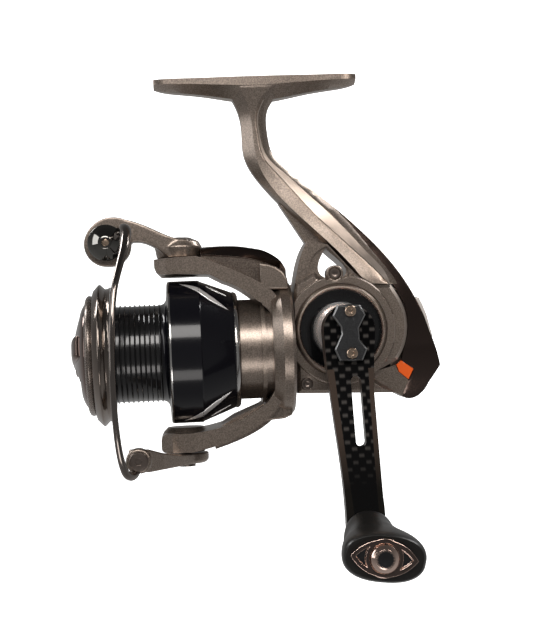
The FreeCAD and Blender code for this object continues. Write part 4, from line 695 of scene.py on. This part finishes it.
def stem_highlight_bands():
    """A band of lighter bronze on each side of the stem, a painted highlight on the chamfer that catches
    the light, laid on the casting's own surface.
    """
    mesh = NODES["body_housing"].data
    casting = BVHTree.FromPolygons([v.co.copy() for v in mesh.vertices],
                                   [tuple(f.vertices) for f in mesh.polygons])
    # the ends (x, z) of each section across the stem, and the share of it where the band starts and ends
    sections = [((-7.0, -7.6), (5.4, -7.6), 0.74, 0.77), ((-5.3, -12.6), (3.3, -12.6), 0.63, 0.68),
                ((-4.8, -19.0), (3.5, -19.0), 0.62, 0.68), ((-3.9, -26.6), (5.6, -25.6), 0.61, 0.73),
                ((0.2, -33.6), (11.4, -31.4), 0.59, 0.80), ((6.4, -40.8), (18.6, -37.8), 0.51, 0.77),
                ((12.0, -46.4), (25.2, -43.6), 0.43, 0.74), ((17.4, -51.4), (31.1, -49.3), 0.41, 0.69),
                ((22.8, -57.0), (37.2, -56.2), 0.43, 0.66), ((27.6, -62.6), (42.7, -63.4), 0.51, 0.69),
                ((31.0, -67.5), (45.4, -68.4), 0.59, 0.62)]
    edges = []
    for (x0, z0), (x1, z1), first, last in sections:
        edges.append((x0 + (x1 - x0) * first, z0 + (z1 - z0) * first,
                      x0 + (x1 - x0) * last, z0 + (z1 - z0) * last))
    rows = smooth_path(edges, 6)
    for side, name in ((-1, "near"), (1, "far")):
        outer = []
        depth = BAND_FIRST_DEPTH
        for x0, z0, x1, z1 in rows:
            for k in range(BAND_COLUMNS + 1):
                x, z = x0 + (x1 - x0) * k / BAND_COLUMNS, z0 + (z1 - z0) * k / BAND_COLUMNS
                hit = casting.ray_cast(Vector((x, side * RAY_START_Y, z)) * MM, Vector((0, -side, 0)))[0]
                if hit is not None:
                    depth = abs(hit.y) / MM
                outer.append((x, side * (depth + BAND_PROUD), z))
        inner = [(x, y - side * BAND_THICKNESS, z) for x, y, z in outer]
        faces = plate_faces(len(rows) - 1, BAND_COLUMNS)
        band = new_object("stem_highlight_band_" + name, outer + inner, faces, BRONZE_PAINTED_HIGHLIGHT, "frame", slot="bronze_paint")
        finish_mesh(band)
        band.data.set_sharp_from_angle(angle=math.radians(50))


def trim_bar():
    """Bright bar raised on the rear cover."""
    outline = [(46.8, -73.6), (49.2, -79.0), (50.6, -85.4), (53.2, -85.5), (52.4, -82.2), (51.6, -78.6),
               (50.4, -75.2), (49.1, -72.4)]
    bar = slab("trim_bar", outline, -TRIM_HALF_WIDTH, TRIM_HALF_WIDTH, SILVER, "frame",
               replaces=("rear_trim",), slot="silver_trim")
    finish_mesh(bar, bevel=0.3, angle=30)


spool_body()
stem_highlight_bands()
roller_cone()
trim_bar()
skirt_cuts()
upper_cover()
cover_blocks()
lower_root()
bail_wire()
drag_ring()
drag_dome()
drag_bar()


# ---- stage, in metres ---------------------------------------------------------------------------
FLOOR_Z, FLOOR_RADIUS, COVE_RADIUS = -0.186, 0.8, 0.7
WALL_GLOW = 0.75
REEL_MIDDLE = (0.0, 0.0, -0.08)
# Room light: its strength towards the camera and away from it, and its share overhead. Each pair of
# directions says where, on an axis from -1 to 1, the first value stops and the second is reached.
ROOM_FRONT, ROOM_BACK, FRONT_TO_BACK = 0.24, 0.55, (-0.35, 0.55)
ROOM_BELOW, ROOM_TOP, BELOW_TO_TOP = 1.0, 0.25, (-0.6, 0.8)
# The camera's focal length in millimetres, its place, and its yaw, pitch and roll in degrees.
LENS, CAMERA_PLACE, CAMERA_ANGLES = 78.48, (-0.02717, -0.450, -0.07877), (-4.10, 0.09, -2.45)


def backdrop():
    """White round studio: a floor that curves up into a wall all the way round the reel."""
    white = material("white sweep", (0.92, 0.92, 0.92), metallic=0.0, roughness=0.7)
    glow = white.node_tree.nodes["Principled BSDF"]
    glow.inputs["Emission Color"].default_value = (1.0, 1.0, 1.0, 1.0)
    glow.inputs["Emission Strength"].default_value = WALL_GLOW
    floor = [(0.25 * k, FLOOR_Z) for k in range(1, 4)]
    cove = [(FLOOR_RADIUS + COVE_RADIUS * math.sin(math.radians(a)),
             FLOOR_Z + COVE_RADIUS - COVE_RADIUS * math.cos(math.radians(a))) for a in range(0, 91, 6)]
    wall = [(1.5, 1.4), (1.2, 1.9), (0.6, 2.1)]
    steps = 64
    verts = [(0.0, 0.0, FLOOR_Z)]
    for r, z in floor + cove + wall:
        verts += [(r * math.cos(2 * math.pi * i / steps), r * math.sin(2 * math.pi * i / steps), z)
                  for i in range(steps)]
    faces = [(0, 1 + i, 1 + (i + 1) % steps) for i in range(steps)]
    for k in range(len(floor + cove + wall) - 1):
        low_row, high_row = 1 + k * steps, 1 + (k + 1) * steps
        faces += [(low_row + i, high_row + i, high_row + (i + 1) % steps, low_row + (i + 1) % steps)
                  for i in range(steps)]
    mesh = bpy.data.meshes.new("sweep")
    mesh.from_pydata(verts, [], faces)
    mesh.polygons.foreach_set("use_smooth", [True] * len(faces))
    mesh.materials.append(white)
    sweep = bpy.data.objects.new("sweep", mesh)
    bpy.context.scene.collection.objects.link(sweep)
    sweep.visible_glossy = False
    sweep.visible_diffuse = False
    sweep.visible_shadow = False


def area_light(name, place, target, size, power, color=(1, 1, 1)):
    """A rectangular softbox at `place`, facing `target`, with its size and power in metres and watts."""
    data = bpy.data.lights.new(name, "AREA")
    data.shape = "RECTANGLE"
    data.size, data.size_y = size
    data.energy = power
    data.color = color
    obj = bpy.data.objects.new(name, data)
    obj.location = place
    obj.rotation_euler = (Vector(target) - Vector(place)).to_track_quat("-Z", "Y").to_euler()
    bpy.context.scene.collection.objects.link(obj)


def studio_world():
    """Room light: brighter behind the reel than on the camera's side, and dimmer above than below."""
    world = bpy.data.worlds.new("studio")
    world.use_nodes = True
    tree = world.node_tree
    coords = tree.nodes.new("ShaderNodeTexCoord")
    split = tree.nodes.new("ShaderNodeSeparateXYZ")

    def map_range(directions, at_low, at_high):
        node = tree.nodes.new("ShaderNodeMapRange")
        node.inputs["From Min"].default_value, node.inputs["From Max"].default_value = directions
        node.inputs["To Min"].default_value = at_low
        node.inputs["To Max"].default_value = at_high
        return node

    across = map_range(FRONT_TO_BACK, ROOM_FRONT, ROOM_BACK)
    upward = map_range(BELOW_TO_TOP, ROOM_BELOW, ROOM_TOP)
    both = tree.nodes.new("ShaderNodeMath")
    both.operation = "MULTIPLY"
    tree.links.new(coords.outputs["Generated"], split.inputs["Vector"])
    tree.links.new(split.outputs["Y"], across.inputs["Value"])
    tree.links.new(split.outputs["Z"], upward.inputs["Value"])
    tree.links.new(across.outputs["Result"], both.inputs[0])
    tree.links.new(upward.outputs["Result"], both.inputs[1])
    tree.links.new(both.outputs[0], tree.nodes["Background"].inputs["Strength"])
    tree.nodes["Background"].inputs["Color"].default_value = (1.0, 0.99, 0.98, 1.0)
    bpy.context.scene.world = world


def camera():
    """The camera on the crank's side, level with the reel's middle, with a slight turn and roll."""
    data = bpy.data.cameras.new("camera")
    data.sensor_width = 36.0
    data.lens = LENS
    data.clip_start = 0.01
    cam = bpy.data.objects.new("camera", data)
    yaw, pitch, roll = (math.radians(angle) for angle in CAMERA_ANGLES)
    cam.matrix_world = (Matrix.Translation(Vector(CAMERA_PLACE)) @ Matrix.Rotation(yaw, 4, "Z")
                        @ Matrix.Rotation(math.radians(90) + pitch, 4, "X")
                        @ Matrix.Rotation(roll, 4, "Z"))
    bpy.context.scene.collection.objects.link(cam)
    bpy.context.scene.camera = cam


backdrop()
area_light("wall wash left", (-1.1, 0.55, 0.9), (-0.4, 1.5, 0.1), (0.9, 0.5), 22.0)
area_light("wall wash right", (1.1, 0.55, 0.9), (0.4, 1.5, 0.1), (0.9, 0.5), 22.0)
area_light("key softbox", (-0.12, -0.72, 0.40), REEL_MIDDLE, (0.50, 0.30), 4.4, (1.0, 0.97, 0.94))
area_light("low softbox", (-0.10, -0.62, -0.55), REEL_MIDDLE, (0.45, 0.22), 1.1, (1.0, 0.96, 0.93))
area_light("left strip", (-0.60, -0.20, 0.14), REEL_MIDDLE, (0.12, 0.5), 0.7)
area_light("right strip", (0.38, -0.60, 0.28), (0.02, 0.0, -0.05), (0.10, 0.34), 1.7, (1.0, 0.93, 0.87))
studio_world()
bpy.context.scene.view_settings.view_transform = "Standard"
camera()
